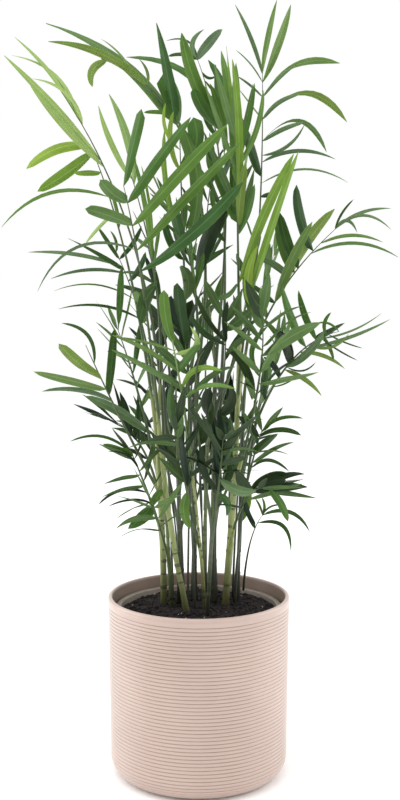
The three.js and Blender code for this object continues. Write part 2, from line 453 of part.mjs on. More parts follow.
  { frond: 'frond_foot_right', share: 0.3, tip: [34, 15, 208], width: 5.5, arch: 3, face: 10 },
  { frond: 'frond_front_right', share: 0.38, tip: [22, -40, 225], width: 6, arch: 5, face: 10 },
];

// ---------------------------------------------------------------- vectors, random draws, solids

const radians = THREE.MathUtils.degToRad;
const vector = (x, y, z) => new THREE.Vector3(x, y, z);
const mix = THREE.MathUtils.lerp;
const DOWN = vector(0, 0, -1);
const FRONT = vector(0, -1, 0);

/** A small repeatable generator of draws between 0 and 1. */
function draws(seed) {
  let state = seed >>> 0;
  const next = () => {
    state = (Math.imul(state, 1664525) + 1013904223) >>> 0;
    return state / 4294967296;
  };
  for (let k = 0; k < 3; k += 1) next();
  return next;
}

/** A closed geometry as a manifold solid: merged, without slivers, faces turned outwards. */
function solidOf(geometry) {
  geometry.deleteAttribute('normal');
  geometry.deleteAttribute('uv');
  const merged = mergeVertices(geometry, WELD);
  const corners = merged.index.array;
  const faces = [];
  for (let k = 0; k < corners.length; k += 3) {
    const [a, b, c] = [corners[k], corners[k + 1], corners[k + 2]];
    if (a !== b && b !== c && c !== a) faces.push(a, b, c);
  }
  const make = (list) => new wasm.Manifold(new wasm.Mesh({
    numProp: 3,
    vertProperties: new Float32Array(merged.attributes.position.array),
    triVerts: new Uint32Array(list),
  }));
  const solid = make(faces);
  return solid.volume() > 0 ? solid : make(faces.reverse());
}

/** A manifold solid as a geometry. */
function geometryOf(solid) {
  const mesh = solid.getMesh();
  const geometry = new THREE.BufferGeometry();
  geometry.setAttribute('position', new THREE.BufferAttribute(new Float32Array(mesh.vertProperties), 3));
  geometry.setIndex(new THREE.BufferAttribute(new Uint32Array(mesh.triVerts), 1));
  geometry.computeVertexNormals();
  return geometry;
}

/** The largest of the separate bodies that a solid falls into. */
function largest(solid) {
  return solid.decompose().reduce((best, piece) => (piece.volume() > best.volume() ? piece : best));
}

/**
 * A profile turned on a few sides and carried along a path. The profile is a list of [radius, place], and
 * frameAt(place) gives the centre there and the two vectors, across and up, that the section is drawn on.
 */
function sweptSolid(profile, sides, frameAt) {
  const points = profile.map(([radius, place]) => new THREE.Vector2(radius, place));
  const geometry = new THREE.LatheGeometry(points, sides);
  const position = geometry.attributes.position;
  for (let k = 0; k < position.count; k += 1) {
    const frame = frameAt(position.getY(k));
    const point = frame.centre.clone()
      .addScaledVector(frame.across, position.getX(k))
      .addScaledVector(frame.up, position.getZ(k));
    position.setXYZ(k, point.x, point.y, point.z);
  }
  return solidOf(geometry);
}

/** A body of revolution about the plant's axis, from a closed outline of [radius, height]. */
function turnedSolid(outline, sides) {
  const level = (height) => ({ centre: vector(0, 0, height), across: vector(1, 0, 0), up: vector(0, 1, 0) });
  return sweptSolid(outline, sides, level);
}

// ---------------------------------------------------------------- pot, grow pot, soil

/** Points of a quarter round from one angle to another, in degrees, about [radius, height]. */
function arc([centreRadius, centreHeight], radius, from, to, steps) {
  return Array.from({ length: steps + 1 }, (_, k) => {
    const angle = radians(mix(from, to, k / steps));
    return [centreRadius + radius * Math.cos(angle), centreHeight + radius * Math.sin(angle)];
  });
}

const potOutside = (height) => POT.rimRadius - POT.taper * (POT.height - height);
const potInside = (height) => potOutside(height) - POT.wall;

function potSolid() {
  const lipHeight = POT.height - POT.lipRadius;
  const corner = POT.cornerRadius;
  const innerCorner = corner - POT.wall;
  return turnedSolid([
    [0, 0],
    ...arc([potOutside(corner) - corner, corner], corner, -90, 0, 4),
    ...arc([potOutside(lipHeight) - POT.lipRadius, lipHeight], POT.lipRadius, 0, 90, 2),
    ...arc([potInside(lipHeight) + POT.lipRadius, lipHeight], POT.lipRadius, 90, 180, 2),
    ...arc([potInside(corner) - innerCorner, POT.floor + innerCorner], innerCorner, 0, -90, 2),
    [0, POT.floor],
  ], POT.sides);
}

const growFoot = POT.floor + GAP;
const growFloor = growFoot + GROW_POT.wall;
const growWallTop = GROW_POT.rimRadius - GROW_POT.rimWidth;
const growOutside = (height) => mix(GROW_POT.bottomRadius, growWallTop,
  (height - growFoot) / (GROW_POT.top - growFoot));

function growPotSolid() {
  const underRim = GROW_POT.top - GROW_POT.rimHeight;
  return turnedSolid([
    [0, growFoot],
    [growOutside(growFoot), growFoot],
    [growOutside(underRim), underRim],
    [GROW_POT.rimRadius, underRim],
    [GROW_POT.rimRadius, GROW_POT.top - GROW_POT.rimChamfer],
    [GROW_POT.rimRadius - GROW_POT.rimChamfer, GROW_POT.top],
    [growWallTop - GROW_POT.wall, GROW_POT.top],
    [growOutside(growFloor) - GROW_POT.wall, growFloor],
    [0, growFloor],
  ], GROW_POT.sides);
}

function soilSolid() {
  const foot = growFloor + GAP;
  const edge = (height) => growOutside(height) - GROW_POT.wall - 2 * GAP;
  return turnedSolid([[0, foot], [edge(foot), foot], [edge(SOIL.top), SOIL.top], [0, SOIL.top]], SOIL.sides);
}

// ---------------------------------------------------------------- stems

const stemFoot = SOIL.top + GAP;

/** Where a stem's axis is at a height, and its radius there. */
function stemAt(stem, height) {
  const share = (height - stemFoot) / (stem.top[2] - stemFoot);
  const bow = 4 * share * (1 - share);
  const swell = 1 + (STEM.flare - 1) * Math.exp(-(height - stemFoot) / STEM.flareHeight);
  return {
    centre: vector(
      mix(stem.foot[0], stem.top[0], share) + stem.bow[0] * bow,
      mix(stem.foot[1], stem.top[1], share) + stem.bow[1] * bow,
      height,
    ),
    radius: mix(stem.radii[0], stem.radii[1], share) * swell,
  };
}

/** A stem, grown on every side by a margin, with level cuts at both ends. */
function stemSolid(stem, margin = 0) {
  const top = stem.top[2];
  const heights = [stemFoot, stemFoot + STEM.flareHeight];
  for (let k = 1; k <= STEM.steps; k += 1) {
    heights.push(mix(stemFoot + STEM.flareHeight, top, k / STEM.steps));
  }
  const rings = heights.map((height) => [stemAt(stem, height).radius + margin, height]);
  rings[0][1] -= margin;
  rings[rings.length - 1][1] += margin;
  const outline = [[0, stemFoot - margin], ...rings, [0, top + margin]];
  return sweptSolid(outline, STEM.sides, (height) => ({
    centre: stemAt(stem, height).centre,
    across: vector(1, 0, 0),
    up: vector(0, 1, 0),
  }));
}

// ---------------------------------------------------------------- fronds

/** The rib's curve: from its foot through the point at half its run to its tip. */
function ribCurve(frond) {
  const foot = frond.stem
    ? stemAt(STEMS[frond.stem], frond.height).centre
    : vector(frond.foot[0], frond.foot[1], stemFoot);
  const half = vector(...frond.half);
  const tip = vector(...frond.tip);
  const bend = half.clone().multiplyScalar(2).sub(foot.clone().add(tip).multiplyScalar(0.5));
  return new THREE.QuadraticBezierCurve3(foot, bend, tip);
}

/** The rib's direction, the way its right-hand leaflets point, and the side square to both. */
function ribFrame(frond, curve, share) {
  const along = curve.getTangent(share);
  const bearing = radians(frond.turn);
  const right = vector(Math.cos(bearing), Math.sin(bearing), 0);
  right.addScaledVector(along, -right.dot(along)).normalize();
  return { centre: ribPoint(curve, share), along, right, up: along.clone().cross(right) };
}

/** A point on the rib's axis, which runs straight from each of its rings to the next. */
function ribPoint(curve, share) {
  const ring = Math.min(RIB.steps - 1, Math.floor(share * RIB.steps));
  const from = curve.getPoint(ring / RIB.steps);
  const to = curve.getPoint((ring + 1) / RIB.steps);
  return from.lerp(to, share * RIB.steps - ring);
}

/** Which of its two sides a frond holds uppermost, or towards the plant's axis where it stands upright. */
function upperSide(frond, curve) {
  const { centre, up } = ribFrame(frond, curve, (1 + frond.bare) / 2);
  const inward = -(up.x * centre.x + up.y * centre.y);
  return up.z + inward * RIB.uprightBias < 0 ? -1 : 1;
}

const ribRadius = (share) => mix(RIB.baseRadius, RIB.tipRadius, Math.min(1, share));

function ribSolid(frond, curve) {
  const rings = [];
  for (let k = 0; k <= RIB.steps; k += 1) rings.push([ribRadius(k / RIB.steps), k / RIB.steps]);
  const outline = [[0, 0], ...rings, [0, 1]];
  return sweptSolid(outline, RIB.sides, (share) => {
    const frame = ribFrame(frond, curve, share);
    return { centre: frame.centre, across: frame.right, up: frame.up };
  });
}

/** The leaflets of a frond: where each starts, its first direction, length and turn. */
function leafletsOf(frond, number) {
  const curve = ribCurve(frond);
  const upper = upperSide(frond, curve);
  const next = draws(9001 + number * 131);
  const { spread } = LEAFLET;
  const leaflets = [];
  for (let pair = 0; pair < frond.pairs; pair += 1) {
    for (const side of [-1, 1]) {
      const [shift, stretch, swing, raise, roll] = [next(), next(), next(), next(), next()];
      if (side > 0 && frond.rightOut?.includes(pair)) continue;
      const order = frond.pairs > 1 ? pair / (frond.pairs - 1) : 0;
      const spacing = (1 - frond.bare) / Math.max(frond.pairs - 1, 1);
      const offset = LEAFLET.stagger * side * (1 - order) + spread.place * (shift - 0.5);
      const wanted = frond.pairs > 1 ? frond.bare + spacing * (pair + offset) : 1;
      const place = THREE.MathUtils.clamp(wanted, frond.bare * 0.9, 1);
      const frame = ribFrame(frond, curve, place);
      frame.up.multiplyScalar(upper);
      const k = side < 0 ? 0 : 2;
      const length = mix(frond.length[k], frond.length[k + 1], order)
        * (0.92 + LEAFLET.middleSwell * Math.sin(Math.PI * order)) * (1 + spread.length * (stretch - 0.5));
      const degrees = mix(frond.angle[k], frond.angle[k + 1], order ** LEAFLET.fanPower);
      leaflets.push({
        side,
        frame,
        length,
        ribRadius: ribRadius(place),
        angle: degrees + spread.angle * (swing - 0.5),
        lift: LEAFLET.lift + spread.lift * (raise - 0.5),
        roll: frond.twist * side + spread.roll * (roll - 0.5),
        width: frond.width,
        droop: frond.droop,
        late: frond.late ?? LEAFLET.hangPower,
      });
    }
  }
  return leaflets;
}

/** The centre line of a leaflet, which hangs more and more towards its tip. */
function leafletLine(leaflet, swing, raise) {
  const { frame } = leaflet;
  const angle = radians(leaflet.angle + swing);
  const first = frame.along.clone().multiplyScalar(Math.cos(angle))
    .addScaledVector(frame.right, leaflet.side * Math.sin(angle))
    .addScaledVector(frame.up, leaflet.lift + raise)
    .normalize();
  const hang = leaflet.droop * Math.max(0.15, Math.hypot(first.x, first.y));
  const face = frame.up.clone().applyAxisAngle(first, radians(leaflet.roll));
  const headingAt = (share) => first.clone()
    .addScaledVector(DOWN, hang * share ** leaflet.late)
    .normalize();
  const steps = LEAFLET.pathSteps;
  const points = [frame.centre.clone()];
  for (let k = 0; k < steps; k += 1) {
    points.push(points[k].clone().addScaledVector(headingAt((k + 0.5) / steps), leaflet.length / steps));
  }
  const pointAt = (share) => {
    const run = THREE.MathUtils.clamp(share, 0, 1) * steps;
    const k = Math.min(steps - 1, Math.floor(run));
    return points[k].clone().lerp(points[k + 1], run - k);
  };
  return { pointAt, headingAt, face };
}

/** How far before its line a leaflet's pointed foot starts, as a share of its length. */
function footShare(ribRadiusThere, slant, length) {
  return -LEAFLET.sunk * ribRadiusThere / Math.max(LEAFLET.leastSlant, slant) / length;
}

/** A blade: a flat three-sided spindle, bent along a line. */
function bladeSolid(line, length, width, foot) {
  const outline = length > LEAFLET.longLeaflet ? LEAFLET_LONG : LEAFLET_SHORT;
  const thickness = Math.max(LEAFLET.leastThickness, length * LEAFLET.thicknessShare);
  const acrossScale = width / 2 / Math.cos(radians(30));
  const upScale = thickness / 1.5;
  const profile = [[0, foot], ...outline.map(([place, share]) => [share, place]), [0, 1]];
  return sweptSolid(profile, LEAFLET.sides, (place) => {
    const heading = line.headingAt(Math.max(0, place));
    const across = line.face.clone().cross(heading).normalize();
    const up = across.clone().cross(heading);
    const centre = line.pointAt(place).addScaledVector(heading, Math.min(0, place) * length);
    return {
      centre,
      across: across.multiplyScalar(acrossScale),
      up: up.multiplyScalar(-upScale),
    };
  });
}

/** The blade of a leaflet that follows its frond's rule. */
function leafletSolid(leaflet, swing = 0, raise = 0) {
  const slant = Math.sin(Math.abs(radians(leaflet.angle + swing)));
  const foot = footShare(leaflet.ribRadius, slant, leaflet.length);
  return bladeSolid(leafletLine(leaflet, swing, raise), leaflet.length, leaflet.width, foot);
}

/** The blade of a leaflet that goes to its own tip, set back or forward by a shift. */
function loneSolid(leaflet, shift) {
  const rib = ribCurve(FRONDS[leaflet.frond]);
  const start = ribPoint(rib, leaflet.share);
  const tip = vector(...leaflet.tip).add(vector(0, shift, 0));
  const chord = tip.clone().sub(start);
  const length = chord.length();
  const along = chord.clone().normalize();
  const aside = FRONT.clone().cross(along).normalize();
  const bend = start.clone().add(tip).multiplyScalar(0.5).addScaledVector(aside, 2 * leaflet.arch);
  const curve = new THREE.QuadraticBezierCurve3(start, bend, tip);
  const face = FRONT.clone().addScaledVector(along, -FRONT.dot(along)).normalize()
    .applyAxisAngle(along, radians(leaflet.face));
  const line = {
    face,
    headingAt: (share) => curve.getTangent(share),
    pointAt: (share) => curve.getPoint(THREE.MathUtils.clamp(share, 0, 1)),
  };
  const slant = line.headingAt(0).cross(rib.getTangent(leaflet.share)).length();
  return bladeSolid(line, length, leaflet.width, footShare(ribRadius(leaflet.share), slant, length));
}

// ---------------------------------------------------------------- putting the plant together

/** Solids that are already placed, which a new one must keep clear of. */
class Space {
  constructor() {
    this.placed = [];
  }

  /** Whether a solid of one owner comes nearer than the clearance to any other owner's solid. */
  meets(owner, solid) {
    const box = solid.boundingBox();
    const apart = (other) => [0, 1, 2].some((axis) => other.min[axis] - box.max[axis] > GAP
      || box.min[axis] - other.max[axis] > GAP);
    return this.placed.some((item) => item.owner !== owner && !apart(item.box)
      && item.solid.minGap(solid, GAP) < GAP * 0.99);
  }

  add(owner, solid) {
    this.placed.push({ owner, solid, box: solid.boundingBox() });
  }

  /** Adds a stem or a rib, whose place is given, so that meeting another piece is a mistake in its sizes. */
  addFixed(owner, solid) {
    if (this.meets(owner, solid)) throw new Error(`${owner} meets another piece`);
    this.add(owner, solid);
  }
}

// Ways to hold a leaflet, the first that keeps clear of its neighbours being taken: [turn in degrees, raise].
const HOLDS = [
  [0, 0], [0, 0.25], [0, -0.25], [8, 0], [-8, 0], [8, 0.3], [-8, -0.3], [-8, 0.3], [8, -0.3],
  [15, 0.1], [-15, 0.1], [0, 0.5], [0, -0.5], [16, 0.45], [-16, -0.45], [16, -0.45], [-16, 0.45],
];

// How far back or forward a lone leaflet's tip may go to keep clear of its neighbours.
const SHIFTS = [0, 5, -5, 10, -10, 16, -16, 24];

/** A frond's rib, cut back from the stem that carries it. */
function seatedRib(frond) {
  const rib = ribSolid(frond, ribCurve(frond));
  return frond.stem ? largest(rib.subtract(stemSolid(STEMS[frond.stem], STEM.clearMargin))) : rib;
}

/** The first of a leaflet's possible blades that keeps clear of the other fronds, and is then placed. */
function seated(space, owner, choices, bladeFor) {
  for (const choice of choices) {
    const blade = bladeFor(choice);
    if (!space.meets(owner, blade)) {
      space.add(owner, blade);
      return [blade];
    }
  }
  return [];
}

/** The fronds as solids: first every rib, then the lone leaflets, then those of the rule, all joined. */
function frondSolids(space) {
  const names = Object.keys(FRONDS);
  const parts = new Map(names.map((name) => [name, [seatedRib(FRONDS[name])]]));
  parts.forEach(([rib], name) => space.addFixed(name, rib));
  for (const leaflet of LONE_LEAFLETS) {
    const { frond } = leaflet;
    parts.get(frond).push(...seated(space, frond, SHIFTS, (shift) => loneSolid(leaflet, shift)));
  }
  return names.map((name, k) => {
    for (const leaflet of leafletsOf(FRONDS[name], k)) {
      parts.get(name).push(...seated(space, name, HOLDS, (hold) => leafletSolid(leaflet, ...hold)));
    }
    return largest(wasm.Manifold.union(parts.get(name)).simplify(SMOOTHING));
  });
}

function material(colour, roughness) {
  return new THREE.MeshStandardMaterial({ color: COLOURS[colour], roughness, metalness: 0 });
}

const plant = new THREE.Group();

function place(name, solid, look) {
  const mesh = new THREE.Mesh(geometryOf(solid), look);
  mesh.name = name;
  plant.add(mesh);
}

place('pot', potSolid(), material('clay', 0.35));
place('grow_pot', growPotSolid(), material('inside', 0.6));
place('soil', soilSolid(), material('soil', 0.95));

const space = new Space();
for (const [name, stem] of Object.entries(STEMS)) {
  const solid = stemSolid(stem);
  space.addFixed(name, solid);
  place(name, solid, material('cane', 0.55));
}

const fronds = frondSolids(space);
Object.entries(FRONDS).forEach(([name, frond], k) => place(name, fronds[k], material(frond.colour, 0.5)));

export default plant;
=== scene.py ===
"""A potted parlour palm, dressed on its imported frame.

The frame gives the plant's solids. Each is replaced here by a finer surface: the outer pot by a ribbed,
glazed lathe form, the grow pot and the soil by a rolled rim and a crumbly bed, the stems by ringed canes, and
every frond by a slim rib, a clasping sheath and folded, veined leaflets. Most fronds follow the same rule as
the solids, and on those that show one by one each leaflet is placed by itself.

Sizes are millimetres, as on the maker's sheet, and MM turns them into Blender's metres. The plant's front
looks towards -Y, and +Z is up.
"""

import logging
import math
from dataclasses import dataclass, field, fields
from enum import Enum

import bpy
import numpy as np
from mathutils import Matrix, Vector

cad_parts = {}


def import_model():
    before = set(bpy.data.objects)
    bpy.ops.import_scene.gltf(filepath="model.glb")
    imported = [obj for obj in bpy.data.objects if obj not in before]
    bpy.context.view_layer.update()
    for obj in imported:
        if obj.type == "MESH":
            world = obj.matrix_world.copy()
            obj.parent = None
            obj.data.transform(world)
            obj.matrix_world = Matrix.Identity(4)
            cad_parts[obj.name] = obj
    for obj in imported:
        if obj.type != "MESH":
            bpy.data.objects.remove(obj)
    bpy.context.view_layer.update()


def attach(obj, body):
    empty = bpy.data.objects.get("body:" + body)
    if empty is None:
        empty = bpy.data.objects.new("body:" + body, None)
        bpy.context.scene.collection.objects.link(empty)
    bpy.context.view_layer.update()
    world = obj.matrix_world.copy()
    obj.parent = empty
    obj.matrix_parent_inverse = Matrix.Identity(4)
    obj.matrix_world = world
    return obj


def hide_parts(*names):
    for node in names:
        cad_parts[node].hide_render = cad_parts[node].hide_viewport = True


log = logging.getLogger("palm")

Array = np.ndarray
Pair = tuple[float, float]
Point = tuple[float, float, float]
Four = tuple[float, float, float, float]
Socket = bpy.types.NodeSocket

MM = 0.001
BODY = "root"
DOWN = np.array([0.0, 0.0, -1.0])
FRONT = np.array([0.0, -1.0, 0.0])


# ------------------------------------------------------------------------------------------ small maths


def unit(vectors: Array) -> Array:
    """Each vector over its own length."""
    return vectors / np.maximum(np.linalg.norm(vectors, axis=-1, keepdims=True), 1e-9)


def mix(low: Array | float, high: Array | float, share: Array | float) -> Array | float:
    """The value at a share of the way from low to high."""
    return low + (high - low) * share


def linear(colour: str) -> Four:
    """A screen colour as linear light, by the sRGB rule, and opaque.

    Args:
        colour: Red, green and blue as six hexadecimal digits.

    Returns:
        Red, green, blue and alpha.
    """
    screen = np.array([int(colour[k:k + 2], 16) for k in (0, 2, 4)]) / 255.0
    light = np.where(screen <= 0.04045, screen / 12.92, ((screen + 0.055) / 1.055) ** 2.4)
    return (*light.tolist(), 1.0)


def turn_about(vectors: Array, axes: Array, angles: Array) -> Array:
    """Vectors turned about unit axes: v cos a + (axis x v) sin a + axis (axis . v)(1 - cos a).

    Args:
        vectors: The vectors to turn, in their last dimension.
        axes: Unit axes of the same shape.
        angles: Angles in radians, one for each vector.

    Returns:
        The turned vectors.
    """
    cosine, sine = np.cos(angles)[..., None], np.sin(angles)[..., None]
    along = np.sum(vectors * axes, axis=-1, keepdims=True)
    return vectors * cosine + np.cross(axes, vectors) * sine + axes * along * (1 - cosine)


def circle_angles(count: int) -> Array:
    """Evenly spaced angles of a full turn, in radians."""
    return np.linspace(0, 2 * np.pi, count, endpoint=False)


def value_noise(x: Array, y: Array, cell: float, seed: int) -> Array:
    """Smooth noise from -1 to 1: random values on a square lattice, blended by 3t^2 - 2t^3 between them.

    Args:
        x: First coordinates.
        y: Second coordinates, of the same shape.
        cell: Spacing of the lattice, in the coordinates' unit.
        seed: Which lattice of random values.

    Returns:
        The noise, of the coordinates' shape.
    """
    side = 256
    lattice = np.random.default_rng(seed).uniform(-1, 1, (side, side))
    across, down = np.floor(x / cell).astype(int), np.floor(y / cell).astype(int)
    fx, fy = x / cell - across, y / cell - down
    fx, fy = fx * fx * (3 - 2 * fx), fy * fy * (3 - 2 * fy)

    def row(below: int) -> Array:
        """The blend along one side of each square, the near one or the one below it."""
        left, right = (lattice[(across + k) % side, (down + below) % side] for k in (0, 1))
        return mix(left, right, fx)

    return mix(row(0), row(1), fy)


class Draws:
    """Repeatable draws between 0 and 1 by a linear congruential rule, the one the solids are made with."""

    def __init__(self, seed: int) -> None:
        """Starts the row of draws and lets the first three go by."""
        self.state = seed
        self.take(3)

    def take(self, count: int) -> Array:
        """The next draws.

        Args:
            count: How many.

        Returns:
            The draws, from 0 to 1.
        """
        values = np.empty(count)
        for k in range(count):
            self.state = (self.state * 1664525 + 1013904223) % 2**32
            values[k] = self.state / 2**32
        return values


# ------------------------------------------------------------------------------------------ surfaces


def placed(name: str, data: bpy.types.ID) -> bpy.types.Object:
    """A new object in the scene that shows a mesh, a lamp or a camera.

    Args:
        name: The object's name.
        data: What it shows.

    Returns:
        The object.
    """
    made = bpy.data.objects.new(name, data)
    bpy.context.scene.collection.objects.link(made)
    return made


@dataclass
class Skin:
    """One mesh in the making, from closed tubes: rings of corners that end in a point at both ends."""

    points: list[Array] = field(default_factory=list)
    quads: list[Array] = field(default_factory=list)
    fans: list[Array] = field(default_factory=list)
    quad_map: list[Array] = field(default_factory=list)
    fan_map: list[Array] = field(default_factory=list)
    quad_looks: list[Array] = field(default_factory=list)
    fan_looks: list[Array] = field(default_factory=list)
    rims: list[Array] = field(default_factory=list)
    size: int = 0

    def add_tubes(
        self,
        rings: Array,
        ends: Array,
        across: Array | None = None,
        along: Array | None = None,
        looks: Array | int = 0,
        creases: tuple[int, ...] = (),
    ) -> None:
        """Adds tubes of the same make, their faces turned outwards by the sign of the volume they enclose.

        Args:
            rings: Corners as (tubes, rings, columns, 3).
            ends: The points that close both ends, as (tubes, 2, 3).
            across: Map coordinate at each column and at the seam again, or None for even steps from 0 to 1.
            along: Map coordinate at each ring, or None for even steps from 0 to 1.
            looks: The finish of each quad, as a number or to be spread over (tubes, rings - 1, columns).
            creases: Columns along which the surface has a sharp edge.
        """
        tubes, rows, columns, _ = rings.shape
        across = np.linspace(0, 1, columns + 1) if across is None else across
        along = np.linspace(0, 1, rows) if along is None else along
        stride = rows * columns + 2
        start = self.size + stride * np.arange(tubes)[:, None, None]
        grid = start + columns * np.arange(rows)[:, None] + np.arange(columns)
        after = np.roll(grid, -1, axis=2)
        quads = np.stack([grid[:, :-1], after[:, :-1], after[:, 1:], grid[:, 1:]], axis=-1)
        pole = np.broadcast_to(start[:, 0] + stride - 2, (tubes, columns))
        first = np.stack([after[:, 0], grid[:, 0], pole], axis=-1)
        last = np.stack([grid[:, -1], after[:, -1], pole + 1], axis=-1)
        fans = np.stack([first, last], axis=1)
        square, cone = self._map(across, along)
        corners = np.concatenate([rings.reshape(tubes, -1, 3), ends], axis=1).reshape(-1, 3) * MM
        if self._volume(corners, quads - self.size, fans - self.size) < 0:
            quads, fans = quads[..., ::-1], fans[..., ::-1]
            square, cone = square[..., ::-1, :], cone[..., ::-1, :]
        quad_looks = np.broadcast_to(looks, (tubes, rows - 1, columns))
        rim = np.zeros((tubes, rows, columns), bool)
        rim[:, :, list(creases)] = True
        rim = np.concatenate([rim.reshape(tubes, -1), np.full((tubes, 2), bool(creases))], axis=1)
        self.points.append(corners)
        self.quads.append(quads.reshape(-1, 4))
        self.fans.append(fans.reshape(-1, 3))
        self.quad_map.append(np.broadcast_to(square, (tubes, *square.shape)).reshape(-1, 2))
        self.fan_map.append(np.broadcast_to(cone, (tubes, *cone.shape)).reshape(-1, 2))
        self.quad_looks.append(quad_looks.reshape(-1))
        self.fan_looks.append(quad_looks[:, [0, -1]].reshape(-1))
        self.rims.append(rim.reshape(-1))
        self.size += tubes * stride

    def add_rod(
        self,
        line: Array,
        radii: Array,
        columns: int,
        closing: Pair,
        along: Array | None = None,
        looks: Array | int = 0,
    ) -> None:
        """Adds a round tube along a line: at each station, centre + radius (cos a . side + sin a . other).

        Args:
            line: The stations as (rings, 3).
            radii: The radius at each.
            columns: Corners of each ring.
            closing: How far the closing points lie before the first station and past the last.
            along: Map coordinate at each ring, or None for even steps from 0 to 1.
            looks: The finish of each quad, as a number or to be spread over (1, rings - 1, columns).
        """
        ahead = unit(np.gradient(line, axis=0))
        side = unit(np.cross(-FRONT, ahead))
        other = np.cross(ahead, side)
        angle = circle_angles(columns)[:, None]
        circle = np.cos(angle) * side[:, None] + np.sin(angle) * other[:, None]
        rings = line[:, None] + radii[:, None, None] * circle
        ends = np.stack([line[0] - ahead[0] * closing[0], line[-1] + ahead[-1] * closing[1]])
        self.add_tubes(rings[None], ends[None], along=along, looks=looks)

    @staticmethod
    def _map(across: Array, along: Array) -> tuple[Array, Array]:
        """Map coordinates of one tube.

        Args:
            across: The coordinate at each column and once more at the seam.
            along: The coordinate at each ring.

        Returns:
            Those of the quads, as (rings - 1, columns, 4, 2), and of both ends' fans, as (2, columns, 3, 2).
        """
        left, right = across[:-1], across[1:]
        low, high = along[:-1, None], along[1:, None]
        corners = ((left, low), (right, low), (right, high), (left, high))
        square = np.stack([np.stack(np.broadcast_arrays(u, v), axis=-1) for u, v in corners], axis=-2)
        middle = (left + right) / 2
        first, last = np.stack([right, left, middle], axis=-1), np.stack([left, right, middle], axis=-1)
        cone = [np.stack([u, np.full_like(u, v)], axis=-1) for u, v in ((first, along[0]), (last, along[-1]))]
        return square, np.stack(cone)

    @staticmethod
    def _volume(points: Array, quads: Array, fans: Array) -> float:
        """Six times the enclosed volume: the sum of the triple products of every triangle's corners.

        Args:
            points: All corners.
            quads: Faces of four corners.
            fans: Faces of three corners.

        Returns:
            The volume, below 0 where the faces point inwards.
        """
        flat = quads.reshape(-1, 4)
        faces = np.concatenate([flat[:, :3], flat[:, [0, 2, 3]], fans.reshape(-1, 3)])
        a, b, c = (points[faces[:, k]] for k in range(3))
        return float(np.sum(a * np.cross(b, c)))

    def mesh(self, name: str) -> bpy.types.Mesh:
        """The bare mesh, its faces of four corners before those of three.

        Args:
            name: Its name.

        Returns:
            The mesh.
        """
        made = bpy.data.meshes.new(name)
        faces = np.concatenate(self.quads).tolist() + np.concatenate(self.fans).tolist()
        made.from_pydata(np.concatenate(self.points), [], faces)
        return made

    def build(self, name: str, materials: list[bpy.types.Material], nodes: list[str]) -> None:
        """Makes the piece, which rides on the plant's body and stands for the given nodes.

        Args:
            name: The piece's name.
            materials: Its finishes, which the looks count through.
            nodes: The solids that it replaces.
        """
        mesh = self.mesh(name)
        layer = mesh.uv_layers.new(name="UVMap")
        layer.data.foreach_set("uv", np.concatenate(self.quad_map + self.fan_map).astype(np.float32).ravel())
        present, looks = np.unique(np.concatenate(self.quad_looks + self.fan_looks), return_inverse=True)
        for number in present:
            mesh.materials.append(materials[number])
        mesh.polygons.foreach_set("material_index", looks.astype(np.int32))
        mesh.polygons.foreach_set("use_smooth", np.ones(len(looks), bool))
        ends = np.empty(len(mesh.edges) * 2, np.int32)
        mesh.edges.foreach_get("vertices", ends)
        rim = np.concatenate(self.rims)
        mesh.edges.foreach_set("use_edge_sharp", rim[ends.reshape(-1, 2)].all(axis=1))
        mesh.update()
        piece = placed(name, mesh)
        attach(piece, BODY)
        if nodes:
            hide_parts(*nodes)
        log.info("%s: %d faces for %s", name, len(looks), ", ".join(nodes) or "no node")


def turned(outline: Array, sides: int) -> Array:
    """Rings of a body of revolution about the plant's axis: (r cos a, r sin a, z) for each outline point.

    Args:
        outline: Radius and height of each ring, as (rings, 2).
        sides: Corners of each ring.

    Returns:
        The rings as (1, rings, sides, 3).
    """
    angle = circle_angles(sides)
    radius, height = outline[:, :1], outline[:, 1:]
    around = np.broadcast_arrays(radius * np.cos(angle), radius * np.sin(angle), height)
    return np.stack(around, axis=-1)[None]


def on_axis(low: float, high: float) -> Array:
    """Two points on the plant's axis that close one tube, as (1, 2, 3)."""
    return np.array([[[0, 0, low], [0, 0, high]]])


def arc(centre: Pair, radius: float, start: float, stop: float, steps: int) -> Array:
    """Points of a round stretch of outline: centre + radius (cos a, sin a), with a in degrees."""
    angle = np.radians(np.linspace(start, stop, steps + 1))
    return np.stack([centre[0] + radius * np.cos(angle), centre[1] + radius * np.sin(angle)], axis=-1)


# ------------------------------------------------------------------------------------------ finishes


